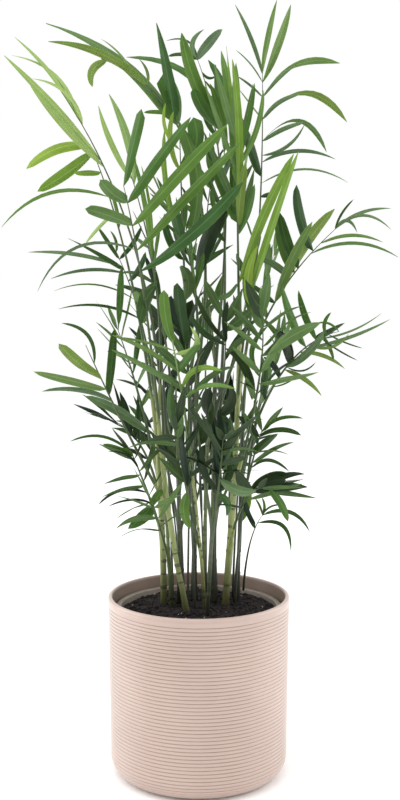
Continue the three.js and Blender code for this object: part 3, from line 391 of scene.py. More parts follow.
class Board:
    """A material whose nodes are made by short calls, each of which gives the output that holds its value."""

    def __init__(self, name: str) -> None:
        """Starts with a Principled shader joined to the output.

        Args:
            name: The material's name.
        """
        self.material = bpy.data.materials.new(name)
        self.material.use_nodes = True
        self.tree = self.material.node_tree
        self.tree.nodes.clear()
        self.shader = self.node("BsdfPrincipled", {})
        self.node("OutputMaterial", {"Surface": self.shader.outputs["BSDF"]})

    def node(self, kind: str, inputs: dict[str | int, object], **settings: object) -> bpy.types.Node:
        """A new node.

        Args:
            kind: Its type, without the word ShaderNode.
            inputs: By an input's name or number, the output to join to it or a plain value.
            settings: Its properties.

        Returns:
            The node.
        """
        made = self.tree.nodes.new(f"ShaderNode{kind}")
        for key, value in settings.items():
            setattr(made, key, value)
        self.feed(made, inputs)
        return made

    def feed(self, node: bpy.types.Node, inputs: dict[str | int, object]) -> None:
        """Joins outputs to a node's inputs, or gives them plain values.

        Args:
            node: The node.
            inputs: By an input's name or number, the output or the plain value.
        """
        for key, value in inputs.items():
            if isinstance(value, Socket):
                self.tree.links.new(value, node.inputs[key])
            else:
                node.inputs[key].default_value = value

    def set(self, **values: object) -> None:
        """Outputs or plain values for the shader's own inputs, with underscores for spaces."""
        self.feed(self.shader, {key.replace("_", " "): value for key, value in values.items()})

    def place(self) -> Socket:
        """The Object coordinates, which are metres from the plant's origin."""
        return self.node("TexCoord", {}).outputs["Object"]

    def noise(self, scale: float, detail: float, stretch: Point = (1, 1, 1)) -> Socket:
        """Noise by its lumps for each metre, its octaves and its scale along each axis."""
        mapped = self.node("Mapping", {"Vector": self.place(), "Scale": stretch}).outputs["Vector"]
        return self.node("TexNoise", {"Vector": mapped, "Scale": scale, "Detail": detail}).outputs["Fac"]

    def math(self, operation: str, source: Socket, value: float = 0.0) -> Socket:
        """A math node on one output and one plain value."""
        return self.node("Math", {0: source, 1: value}, operation=operation).outputs[0]

    def across(self) -> Socket:
        """The map coordinate across the piece, u."""
        place = self.node("UVMap", {}, uv_map="UVMap").outputs["UV"]
        return self.node("SeparateXYZ", {"Vector": place}).outputs["X"]

    def stripes(self, count: float, sharpness: float) -> Socket:
        """Stripes across the map: |cos(pi . count . u)| to a power, whose dips are narrower below 1."""
        wave = self.math("COSINE", self.math("MULTIPLY", self.across(), math.pi * count))
        return self.math("POWER", self.math("ABSOLUTE", wave), sharpness)

    def midline(self) -> Socket:
        """How far a place is from the middle of its side of the blade: |fraction of u - 1/2|."""
        return self.math("ABSOLUTE", self.math("SUBTRACT", self.math("FRACT", self.across()), 0.5))

    def eased(self, source: Socket, limits: Pair, values: Pair) -> Socket:
        """A value that goes from the first to the second while the source passes between two limits."""
        inputs = {"Value": source, "From Min": limits[0], "From Max": limits[1]}
        return self.node("MapRange", {**inputs, "To Min": values[0], "To Max": values[1]}).outputs["Result"]

    def blend(self, source: Socket, low: str, high: str, start: float = 0.0, stop: float = 1.0) -> Socket:
        """A ramp from one screen colour to another over a stretch of a value.

        Args:
            source: The value.
            low: The colour up to the start.
            high: The colour from the stop on.
            start: The value at which the ramp sets in.
            stop: The value at which it ends.

        Returns:
            The colour.
        """
        ramp = self.node("ValToRGB", {"Fac": source})
        for element, position, colour in zip(ramp.color_ramp.elements, (start, stop), (low, high)):
            element.position = position
            element.color = linear(colour)
        return ramp.outputs["Color"]

    def laid(self, ground: Socket, over: Socket | Four, share: Socket | float, way: str) -> Socket:
        """So much of one colour laid over another, by the way they blend."""
        inputs = {"Factor": share, 6: ground, 7: over}
        return self.node("Mix", inputs, data_type="RGBA", blend_type=way).outputs[2]

    def rising(self, low: str, high: str, heights: Pair) -> Socket:
        """A ramp from one screen colour to another between two heights in metres."""
        height = self.node("SeparateXYZ", {"Vector": self.place()}).outputs["Z"]
        return self.blend(self.eased(height, heights, (0.0, 1.0)), low, high)

    def relief(self, source: Socket, distance: float, strength: float) -> None:
        """A bump from a value, on top of any bump already there.

        Args:
            source: The value.
            distance: Its height in metres.
            strength: How much of it shows.
        """
        inputs = {"Height": source, "Distance": distance, "Strength": strength}
        normal = self.shader.inputs["Normal"]
        if normal.is_linked:
            inputs["Normal"] = normal.links[0].from_socket
        self.set(Normal=self.node("Bump", inputs).outputs["Normal"])


@dataclass(frozen=True)
class GlazeFinish:
    """A fired glaze: a body colour that drifts a little, faint pitting and a soft gloss."""

    name: str
    body: str
    drift: str
    roughness: float = 0.34
    coat: float = 0.5

    def make(self) -> bpy.types.Material:
        """Builds the finish.

        Returns:
            The material.
        """
        board = Board(self.name)
        colour = board.blend(board.noise(16, 4), self.body, self.drift, 0.35, 0.7)
        board.set(Base_Color=colour, Roughness=self.roughness, Coat_Weight=self.coat, Coat_Roughness=0.16)
        board.relief(board.noise(900, 2), 0.00006, 0.5)
        board.relief(board.noise(60, 2), 0.0005, 0.25)
        return board.material


@dataclass(frozen=True)
class PlasticFinish:
    """Moulded plastic: an even colour with faint scuffs in its gloss."""

    name: str
    body: str
    scuff: str
    roughness: float = 0.5

    def make(self) -> bpy.types.Material:
        """Builds the finish.

        Returns:
            The material.
        """
        board = Board(self.name)
        scuffs = board.noise(120, 5, (1, 1, 6))
        gloss = board.eased(scuffs, (0.0, 1.0), (self.roughness - 0.1, self.roughness + 0.12))
        board.set(Base_Color=board.blend(scuffs, self.body, self.scuff, 0.4, 0.75), Roughness=gloss)
        board.relief(board.noise(1400, 2), 0.00004, 0.4)
        return board.material


@dataclass(frozen=True)
class EarthFinish:
    """Peat and bark crumbs: dull, fibrous and broken up at two sizes."""

    name: str
    body: str
    crumb: str
    roughness: float = 0.95

    def make(self) -> bpy.types.Material:
        """Builds the finish.

        Returns:
            The material.
        """
        board = Board(self.name)
        colour = board.blend(board.noise(420, 6), self.body, self.crumb, 0.42, 0.72)
        board.set(Base_Color=colour, Roughness=self.roughness, Specular_IOR_Level=0.2)
        board.relief(board.noise(700, 4), 0.0008, 0.9)
        return board.material


@dataclass(frozen=True)
class CaneFinish:
    """A smooth green cane: streaked along its length, with flecks, and browner and darker towards the soil,
    partly its own colour and partly painted shade.
    """

    name: str
    body: str
    streak: str
    fleck: str
    roughness: float = 0.45
    soil_tint: str = "6e6055"
    tint_and_shade_heights: Pair = (0.138, 0.19)

    def make(self) -> bpy.types.Material:
        """Builds the finish, with its browner, darker foot between two heights in metres, partly the cane's
        own colour and partly painted shade.

        Returns:
            The material.
        """
        board = Board(self.name)
        streaks = board.noise(500, 4, (1, 1, 0.08))
        ground = board.blend(streaks, self.body, self.streak, 0.38, 0.66)
        flecks = board.blend(board.noise(260, 3), "ffffff", self.fleck, 0.62, 0.74)
        flecked = board.laid(ground, flecks, 0.4, "MULTIPLY")
        # Browner and darker towards the soil: partly the cane's own colour, partly painted shade inside the
        # pot.
        foot = board.rising(self.soil_tint, "ffffff", self.tint_and_shade_heights)
        board.set(Base_Color=board.laid(flecked, foot, 1.0, "MULTIPLY"), Roughness=self.roughness)
        board.relief(streaks, 0.00025, 0.6)
        return board.material


@dataclass(frozen=True)
class LeafFinish:
    """A satin leaf: a body colour with soft patches, a paler midrib and fine nerves along the blade."""

    name: str
    body: str
    patch: str
    midrib: str
    roughness: float
    glow: float = 0.12
    nerves: int = 9
    midrib_edges: Pair = (0.015, 0.075)

    def make(self) -> bpy.types.Material:
        """Builds the finish.

        Returns:
            The material.
        """
        board = Board(self.name)
        ground = board.blend(board.noise(70, 3), self.body, self.patch, 0.36, 0.68)
        nerves = board.stripes(self.nerves, 0.6)
        lined = board.laid(ground, board.blend(nerves, "c4d0b4", "ffffff"), 0.5, "MULTIPLY")
        near = board.eased(board.midline(), self.midrib_edges, (0.6, 0.0))
        board.set(
            Base_Color=board.laid(lined, linear(self.midrib), near, "MIX"),
            Roughness=self.roughness,
            Specular_IOR_Level=0.12,
            Subsurface_Weight=self.glow,
            Subsurface_Radius=(0.35, 0.6, 0.12),
            Subsurface_Scale=0.001,
        )
        board.relief(nerves, 0.00008, 0.25)
        board.relief(board.noise(160, 2), 0.0003, 0.2)
        return board.material


class CaneLook(Enum):
    """The three finishes of the canes, by how bright they are."""

    LIGHT = CaneFinish("cane_light", "818c52", "929c60", "c6ca9c")
    GREEN = CaneFinish("cane_green", "58673e", "66764a", "acb988")
    DARK = CaneFinish("cane_dark", "3e4936", "4a5641", "919d79")


class Tone(Enum):
    """How bright the leaflets of a frond are. The darkest tone is painted shade for the leaves inside, low
    down and at the back of the plant, and the last, greyish tone is a painted sheen.
    """

    DEEP = "deep"
    DARK = "dark"
    MID = "mid"
    SOFT = "soft"
    LIGHT = "light"
    PALE = "pale"
    SILVER = "silver"


DEEP, DARK, MID, SOFT, LIGHT, PALE, SILVER = Tone
TONES = list(Tone)

GLAZE = GlazeFinish("glaze_blush", "bda69b", "b69f94")
# A darker glaze for the faces in the rib grooves: painted shade.
GLAZE_GROOVE_SHADE = GlazeFinish("glaze_groove_shade", "94786a", "8c7061", 0.5, 0.0)
# A darker glaze for the inside of the pot: painted shade.
GLAZE_INSIDE_SHADE = GlazeFinish("glaze_inside_shade", "8f7c6f", "867367", 0.45, 0.1)
GROW_PLASTIC = PlasticFinish("plastic_taupe", "8b8277", "7d756b")
PEAT = EarthFinish("peat", "1f1b1c", "322c2c")
PEAT_LIGHT = EarthFinish("peat_crumb", "2a2425", "423732")
PERLITE = EarthFinish("perlite", "b7ada0", "d5cec3", 0.9)
CANE_RING = CaneFinish("cane_ring", "5f6244", "4e5238", "a09c7c", 0.7)
RIB_GREEN = CaneFinish("rib_green", "3a4d28", "46592f", "8c9c68")
RIB_PALE = CaneFinish("rib_pale", "67824a", "779256", "a4b67e")

# The body, patch and midrib colours of each tone's leaflets: plain, cool, warm and seen from below. The first
# row is painted shade and the last, greyish row is a painted sheen.
LEAF_KINDS = ("plain", "cool", "warm", "under")
LEAF_COLOURS = {
    DEEP: ("202e1c 263620 32432b", "1c2a1f 233225 2e3f2e", "29391c 304321 3e502b", "303f2a 384631 46543e"),
    DARK: ("2f4820 385426 4b6836", "2a4222 334c2b 435f3a", "3c5822 44622a 58763a", "465f36 516a3f 667f51"),
    MID: ("3e5e28 486a30 5e7f44", "35542a 3e5f32 537346", "4e6d2e 597936 6f8e4a", "567140 617c4a 758f5c"),
    SOFT: ("5d773e 688348 7c965c", "526e3c 5d7946 708a58", "687f3a 748c44 889e5a", "6c8250 768c5a 889c6c"),
    LIGHT: ("668531 72923b 88a550", "57773a 628340 789654", "7c973a 87a244 9bb45c", "768e56 81985e 94ab74"),
    PALE: ("87a05a 93ab66 a6bc7c", "7a9556 86a162 99b278", "95ac66 a1b772 b4c88a", "8ea26a 99ac76 acbe8a"),
    SILVER: ("58704c 647c56 748c66", "4d6446 5a7050 6a8060", "627a44 6e8650 7e965e", "667e5a 728a66 829a76"),
}


def leaf_finish(tone: Tone, kind: str, colours: str) -> LeafFinish:
    """One leaf finish. Undersides are the dullest, and the greyish leaves of painted sheen are duller than
    green ones.
    """
    roughness = 0.6 if kind == "under" else 0.5 if tone is SILVER else 0.42
    return LeafFinish(f"leaf_{tone.value}_{kind}", *colours.split(), roughness)


# ------------------------------------------------------------------------------------------ pot


@dataclass
class Pot:
    """The outer pot: a glazed wall with fine level ribs under a plain band, a round lip and a flat foot."""

    height: float = 151.0
    rim_radius: float = 75.0
    taper: float = 0.012
    wall: float = 4.0
    floor: float = 6.0
    inner_heights: tuple[float, ...] = (140.0, 120.0, 60.0)
    corner: float = 17.0
    lip: float = 1.9
    band: float = 7.5
    ribs: int = 46
    pitch: float = 3.03
    groove: float = 0.5
    crown: float = 0.2
    bead: float = 2.7
    hub: float = 20.0
    sides: int = 160

    def outside(self, height: Array | float) -> Array | float:
        """The wall's outer radius at a height."""
        return self.rim_radius - self.taper * (self.height - height)

    def inside(self, height: float) -> float:
        """The wall's inner radius at a height."""
        return self.outside(height) - self.wall

    def outer_line(self) -> tuple[Array, Array]:
        """The outer wall from the foot's edge up to the band, with the ribs pressed in.

        The bare line is a quarter round of the corner's radius and then the straight wall. A rib's phase q
        runs from -1 to 1 between two grooves, and the line is drawn in by crown q^2 + groove |q|^6, square to
        itself.

        Returns:
            The points as (rings, 2), and for each whether it lies in a groove, where a darker glaze paints
            shade.
        """
        start = self.height - self.band
        straight = start - self.corner
        phases = np.array([-1, -0.9, -0.72, -0.4, 0, 0.4, 0.72, 0.9])
        run = ((np.arange(self.ribs)[:, None] + (phases + 1) / 2) * self.pitch).ravel()
        plain = np.linspace(run[-1] + self.pitch * 0.03, straight + self.corner * np.pi / 2, 7)
        run = np.concatenate([run, plain])
        phase = np.concatenate([np.tile(phases, self.ribs), np.zeros(len(plain))])
        turn = np.clip((run - straight) / self.corner, 0, np.pi / 2)
        height = np.where(run < straight, start - run, self.corner * (1 - np.sin(turn)))
        foot = self.outside(self.corner) - self.corner
        radius = np.where(run < straight, self.outside(height), foot + self.corner * np.cos(turn))
        inset = self.crown * phase**2 + self.groove * np.abs(phase) ** 6
        line = np.stack([radius - inset * np.cos(turn), height + inset * np.sin(turn)], axis=-1)
        return line[::-1], (np.abs(phase) > 0.85)[::-1]

    def bead_line(self) -> Array:
        """The plain band from its lower edge to the shallow groove that sets off the lip.

        Returns:
            The points as (5, 2).
        """
        heights = self.height - np.array([self.band - 0.15, self.band - 0.5, 4.5, self.bead + 0.5, self.bead])
        inset = np.array([0.25, 0.0, 0.0, 0.05, 0.34])
        return np.stack([self.outside(heights) - inset, heights], axis=-1)

    def make(self) -> None:
        """Builds the pot as one closed turned form, whose darker inner glaze, painted shade, starts on the
        inner side of the lip.
        """
        line, groove_shade_mask = self.outer_line()
        top = self.height - self.lip
        corner = self.corner - self.wall
        parts = [
            [[self.hub, 0.0], [2 * self.hub, 0.0]],
            line,
            self.bead_line(),
            arc((self.outside(top) - self.lip, top), self.lip, 0, 90, 6),
            arc((self.inside(top) + self.lip, top), self.lip, 90, 180, 6),
            [[self.inside(z), z] for z in self.inner_heights],
            arc((self.inside(self.corner) - corner, self.floor + corner), corner, 0, -90, 6),
            [[self.hub, self.floor]],
        ]
        outline = np.concatenate(parts)
        foot, outer = len(parts[0]), sum(len(part) for part in parts[:4])
        groove_shade_rows = np.zeros(len(outline), bool)
        groove_shade_rows[foot:foot + len(line)] = groove_shade_mask
        # Faces in the grooves take the darker glaze of painted shade.
        looks = (groove_shade_rows[:-1] & groove_shade_rows[1:]).astype(int)
        # The inner wall and floor, from the inner side of the lip down, take the darker inner glaze: painted
        # shade.
        looks[outer + 2:] = 2
        skin = Skin()
        skin.add_tubes(turned(outline, self.sides), on_axis(0, self.floor), looks=looks[None, :, None])
        skin.build("ribbed_pot", [GLAZE.make(), GLAZE_GROOVE_SHADE.make(), GLAZE_INSIDE_SHADE.make()], ["pot"])


@dataclass
class GrowPot:
    """The plastic pot inside, with a rolled rim and a shallow step below it."""

    foot: float = 6.3
    wall: float = 1.6
    top: float = 141.5
    rim_radius: float = 69.0
    rim_width: float = 3.2
    rim_height: float = 2.6
    bottom_radius: float = 50.0
    chamfer: float = 1.5
    inner_round: float = 0.9
    hub: float = 20.0
    sides: int = 120

    def outside(self, height: float) -> float:
        """The wall's outer radius at a height."""
        share = (height - self.foot) / (self.top - self.foot)
        return mix(self.bottom_radius, self.rim_radius - self.rim_width, share)

    def inside(self, height: float) -> float:
        """The wall's inner radius at a height."""
        return self.outside(height) - self.wall

    def make(self) -> None:
        """Builds the grow pot as one closed turned form."""
        under = self.top - self.rim_height
        floor = self.foot + self.wall
        bead, small = self.rim_height / 2, self.inner_round
        edge = self.outside(self.foot)
        outline = np.concatenate(
            [
                [[self.hub, self.foot], [edge - self.chamfer, self.foot], [edge, self.foot + self.chamfer]],
                [[self.outside(z), z] for z in (30, 60, 90, 120)],
                [[self.outside(under) - 0.1, under - 0.6], [self.outside(under) + 0.5, under]],
                arc((self.rim_radius - bead, self.top - bead), bead, -80, 90, 8),
                arc((self.inside(self.top) + small, self.top - small), small, 90, 180, 4),
                [[self.inside(z), z] for z in (120, 90, 60, 30)],
                [[self.inside(floor), floor], [self.hub, floor]],
            ]
        )
        skin = Skin()
        skin.add_tubes(turned(outline, self.sides), on_axis(self.foot, floor))
        skin.build("inner_grow_pot", [GROW_PLASTIC.make()], ["grow_pot"])


@dataclass
class Soil:
    """The peat in the grow pot: a crumbly top, loose crumbs on it and a few pale specks."""

    top: float = 140.0
    foot: float = 8.2
    edge: float = 63.4
    foot_edge: float = 47.6
    middle: Pair = (55.5, 74.0)
    hub: float = 20.0
    bumps: tuple[Pair, ...] = ((1.3, 17.0), (0.8, 6.0), (0.55, 2.4))
    level: float = 0.9
    dip: float = 1.6
    rings: int = 64
    sides: int = 180
    seed: int = 41

    def lie(self, x: Array, y: Array) -> Array:
        """The height of the top: smooth noise of several sizes about the level, dipping at the edge.

        Args:
            x: Places from left to right.
            y: Places from front to back.

        Returns:
            The heights there.
        """
        rough = np.zeros_like(x)
        for k, (high, cell) in enumerate(self.bumps):
            rough = rough + high * value_noise(x, y, cell, self.seed + k)
        reach = np.hypot(x, y) / self.edge
        return self.top - self.level + rough - self.dip * np.clip(reach, 0, 1) ** 8

    def make(self) -> None:
        """Builds the filling, its crumbs and its pale specks."""
        self._filling()
        self._lumps("soil_crumbs", 900, (0.7, 2.5), 0.1, (PEAT, PEAT_LIGHT))
        self._lumps("soil_specks", 34, (0.5, 1.3), 0.5, (PERLITE, PERLITE))

    def _filling(self) -> None:
        """The filling as one closed form, whose top is drawn on rings around the axis."""
        reach = self.edge * np.linspace(1, 0.02, self.rings)[:, None] ** 0.8
        angle = circle_angles(self.sides)
        x, y = reach * np.cos(angle), reach * np.sin(angle)
        bed = np.stack([x, y, self.lie(x, y)], axis=-1)[None]
        wall = turned(np.array([[self.hub, self.foot], [self.foot_edge, self.foot], self.middle]), self.sides)
        skin = Skin()
        centre = float(self.lie(np.zeros(1), np.zeros(1))[0])
        skin.add_tubes(np.concatenate([wall, bed], axis=1), on_axis(self.foot, centre))
        skin.build("soil_bed", [PEAT.make()], ["soil"])

    def _lumps(
        self, name: str, count: int, sizes: Pair, sunk: float, finishes: tuple[EarthFinish, EarthFinish]
    ) -> None:
        """Loose lumps on the top: rough balls, each corner at its own distance from the middle.

        Args:
            name: The piece's name.
            count: How many.
            sizes: Least and greatest radius.
            sunk: How deep they sit, in radii.
            finishes: The finish of two thirds of them and that of the rest.
        """
        rng = np.random.default_rng(self.seed + count)
        reach = np.sqrt(rng.uniform(0, 1, count)) * (self.edge - 2)
        bearing = rng.uniform(0, 2 * np.pi, count)
        x, y = reach * np.cos(bearing), reach * np.sin(bearing)
        size = mix(*sizes, rng.uniform(0, 1, count) ** 2.4)
        polar = np.radians([38, 78, 118, 150])
        ball = turned(np.stack([np.sin(polar), np.cos(polar)], axis=-1), 6)[0]
        rough = rng.uniform(0.72, 1.12, (count, 4, 6, 1))
        ranges = ((0.8, 1.3), (0.6, 1), (0.5, 0.9))
        squash = np.stack([rng.uniform(low, high, count) for low, high in ranges], axis=-1) * size[:, None]
        spin = rng.uniform(0, np.pi, count)
        poles = np.array([[0, 0, 0.95], [0, 0, -0.95]])
        centre = np.stack([x, y, self.lie(x, y) - size * (sunk - 0.3)], axis=-1)

        def laid(points: Array) -> Array:
            """Turns points about the upright by their lump's spin and sets them down in its place.

            Args:
                points: Points of each lump's own frame.

            Returns:
                The points in the plant's frame.
            """
            shape = (count, *(1,) * (points.ndim - 2))
            cosine, sine = np.cos(spin).reshape(shape), np.sin(spin).reshape(shape)
            a, b, height = points[..., 0], points[..., 1], points[..., 2]
            turned_about = np.stack([a * cosine - b * sine, a * sine + b * cosine, height], axis=-1)
            return turned_about + centre.reshape(*shape, 3)

        rings = laid(ball * rough * squash[:, None, None])
        ends = laid(poles * squash[:, None])
        looks = (rng.uniform(0, 1, count) > 0.66).astype(int)[:, None, None]
        skin = Skin()
        skin.add_tubes(rings, ends, along=np.linspace(0.1, 0.9, 4), looks=looks)
        skin.build(name, [finish.make() for finish in finishes], ["soil"])


# ------------------------------------------------------------------------------------------ stems and fronds

STEM_FOOT = 140.3
FLARE, FLARE_HEIGHT = 1.18, 9.0


@dataclass(frozen=True)
class Stem:
    """A cane, by its foot on the soil, its top, its bow at half height, both ends' radii and its look."""

    foot: Pair
    top: Point
    bow: Pair
    radii: Pair
    look: CaneLook

    def at(self, height: Array) -> tuple[Array, Array]:
        """The axis and the radius at some heights.

        With t the share of the height, the axis is the straight line from foot to top plus bow . 4t(1 - t),
        and the radius goes straight from one end's to the other's, swollen by 18% e^(-height / 9) at the
        soil.

        Args:
            height: Heights as an array.

        Returns:
            The points as (..., 3) and the radii.
        """
        share = (height - STEM_FOOT) / (self.top[2] - STEM_FOOT)
        bend = 4 * share * (1 - share)
        x, y = (mix(self.foot[k], self.top[k], share) + self.bow[k] * bend for k in (0, 1))
        swell = 1 + (FLARE - 1) * np.exp(-np.maximum(height - STEM_FOOT, 0) / FLARE_HEIGHT)
        return np.stack([x, y, height], axis=-1), mix(*self.radii, share) * swell


@dataclass(frozen=True)
class Rule:
    """How a frond's leaflets are dealt out.

    The lengths and angles are given for the lowest and the highest leaflet of the left side and then of the
    right. Droop is how much they hang. Slim is their width over that of the plain rule, wild how far they
    stray from that rule, from 0 to 1, and sky how far their faces turn up to the sky. A pair of leaflets that
    one side lacks is named by its number in left_out or right_out.
    """

    pairs: int
    length: Four
    width: float
    angle: Four
    droop: float
    tone: Tone
    slim: float = 0.8
    wild: float = 1.0
    sky: float = 0.3
    left_out: tuple[int, ...] = ()
    right_out: tuple[int, ...] = ()


@dataclass(frozen=True)
class Frond:
    """A frond, by its stem and height on it and its rib's half-way point and tip.

    Bare is the share of the rib below its leaflets, and turn the bearing of the right-hand leaflets in
    degrees. A frond without a rule has only leaflets that are placed by themselves, and one without a stem
    rises from the soil at its foot. Pale says that its rib has the paler finish.
    """

    stem: str | None
    height: float
    half: Point
    tip: Point
    bare: float
    turn: float
    rule: Rule | None = None
    foot: Pair = (0.0, 0.0)
    pale: bool = False

    def corners(self) -> tuple[Array, Array, Array]:
        """The points that steer the rib, the bend being 2 half - (foot + tip) / 2.

        Returns:
            The foot, bend and tip.
        """
        if self.stem:
            foot, _ = STEMS[self.stem].at(np.array(float(self.height)))
        else:
            foot = np.array([*self.foot, STEM_FOOT])
        half, tip = np.array(self.half, float), np.array(self.tip, float)
        return foot, 2 * half - (foot + tip) / 2, tip

    def rib(self, share: Array) -> tuple[Array, Array]:
        """The rib's points and its unit direction at some shares of its run."""
        return bent_line(*self.corners(), np.asarray(share, float)[..., None])

    def sides(self, share: Array) -> tuple[Array, Array, Array, Array]:
        """The rib's own frame, whose directions are square to each other.

        Args:
            share: Places along it, from 0 to 1.

        Returns:
            Points, direction, the way of the right-hand leaflets and the upper side.
        """
        points, along = self.rib(share)
        bearing = math.radians(self.turn)
        right = np.array([math.cos(bearing), math.sin(bearing), 0.0])
        right = unit(right - along * np.sum(right * along, axis=-1, keepdims=True))
        return points, along, right, np.cross(along, right)

    def upper(self) -> float:
        """Which side of the rib lies uppermost, or nearer the plant's axis where it is upright.

        Returns:
            1 or -1, for the upper side of its frame or the other one.
        """
        centre, _, _, up = self.sides(np.array((1 + self.bare) / 2))
        inward = -(up[0] * centre[0] + up[1] * centre[1])
        return -1.0 if up[2] + inward * 2e-5 < 0 else 1.0


def bent_line(foot: Array, bend: Array, tip: Array, share: Array) -> tuple[Array, Array]:
    """A line steered by three points: (1 - s)^2 foot + 2 s (1 - s) bend + s^2 tip, and its unit direction."""
    points = (1 - share) ** 2 * foot + 2 * share * (1 - share) * bend + share * share * tip
    return points, unit((1 - share) * (bend - foot) + share * (tip - bend))


@dataclass(frozen=True)
class Lone:
    """A leaflet placed by itself.

    It leaves its frond's rib at a share of the rib's run and goes to its own tip. Arch is how far the middle
    of its line stands off the straight one, above it where the leaflet runs to the right, and face how far it
    is turned from facing the front, in degrees. Shape holds the powers by which its width grows and shrinks.
    """

    frond: str
    share: float
    tip: Point
    width: float
    arch: float
    face: float
    tone: Tone
    shape: Pair = (0.4, 0.45)


TAPERED = (0.55, 0.75)

STEMS = {
    "left_front": Stem((-29, 9), (-34, -6, 284), (1, 0), (2.7, 1.5), CaneLook.LIGHT),
    "left_thin": Stem((-22, 3), (-29, -16, 262), (0, 0), (1.8, 1.2), CaneLook.GREEN),
    "left_leaning": Stem((-10, -14), (-33, -26, 314), (-3, 0), (2.4, 1.3), CaneLook.LIGHT),
    "middle": Stem((-3, 21), (-8, 28, 300), (1, 0), (2.2, 1.3), CaneLook.DARK),
    "front_thin": Stem((5, -6), (-5, -44, 258), (1, 0), (1.2, 0.9), CaneLook.LIGHT),
    "right_thick": Stem((13, 20), (14, 34, 344), (-1, 0), (2.8, 1.4), CaneLook.DARK),
    "right_leaning": Stem((22, 9), (33, -4, 366), (2, 0), (2.8, 1.4), CaneLook.LIGHT),
    "right_outer": Stem((33, 22), (37, 24, 296), (0, 0), (1.7, 1.2), CaneLook.DARK),
    "back_left": Stem((-14, 34), (-20, 62, 300), (0, 0), (2, 1.2), CaneLook.DARK),
    "back_right": Stem((10, 44), (20, 72, 330), (0, 0), (2, 1.2), CaneLook.DARK),
    "middle_left": Stem((-17, 12), (-17, -12, 268), (1, 0), (1.8, 1.2), CaneLook.DARK),
    "middle_thin": Stem((4, 14), (8, -14, 282), (-1, 0), (1.8, 1.2), CaneLook.GREEN),
    "front_short": Stem((7, -24), (11, -44, 226), (0, 0), (1.6, 1.1), CaneLook.DARK),
}
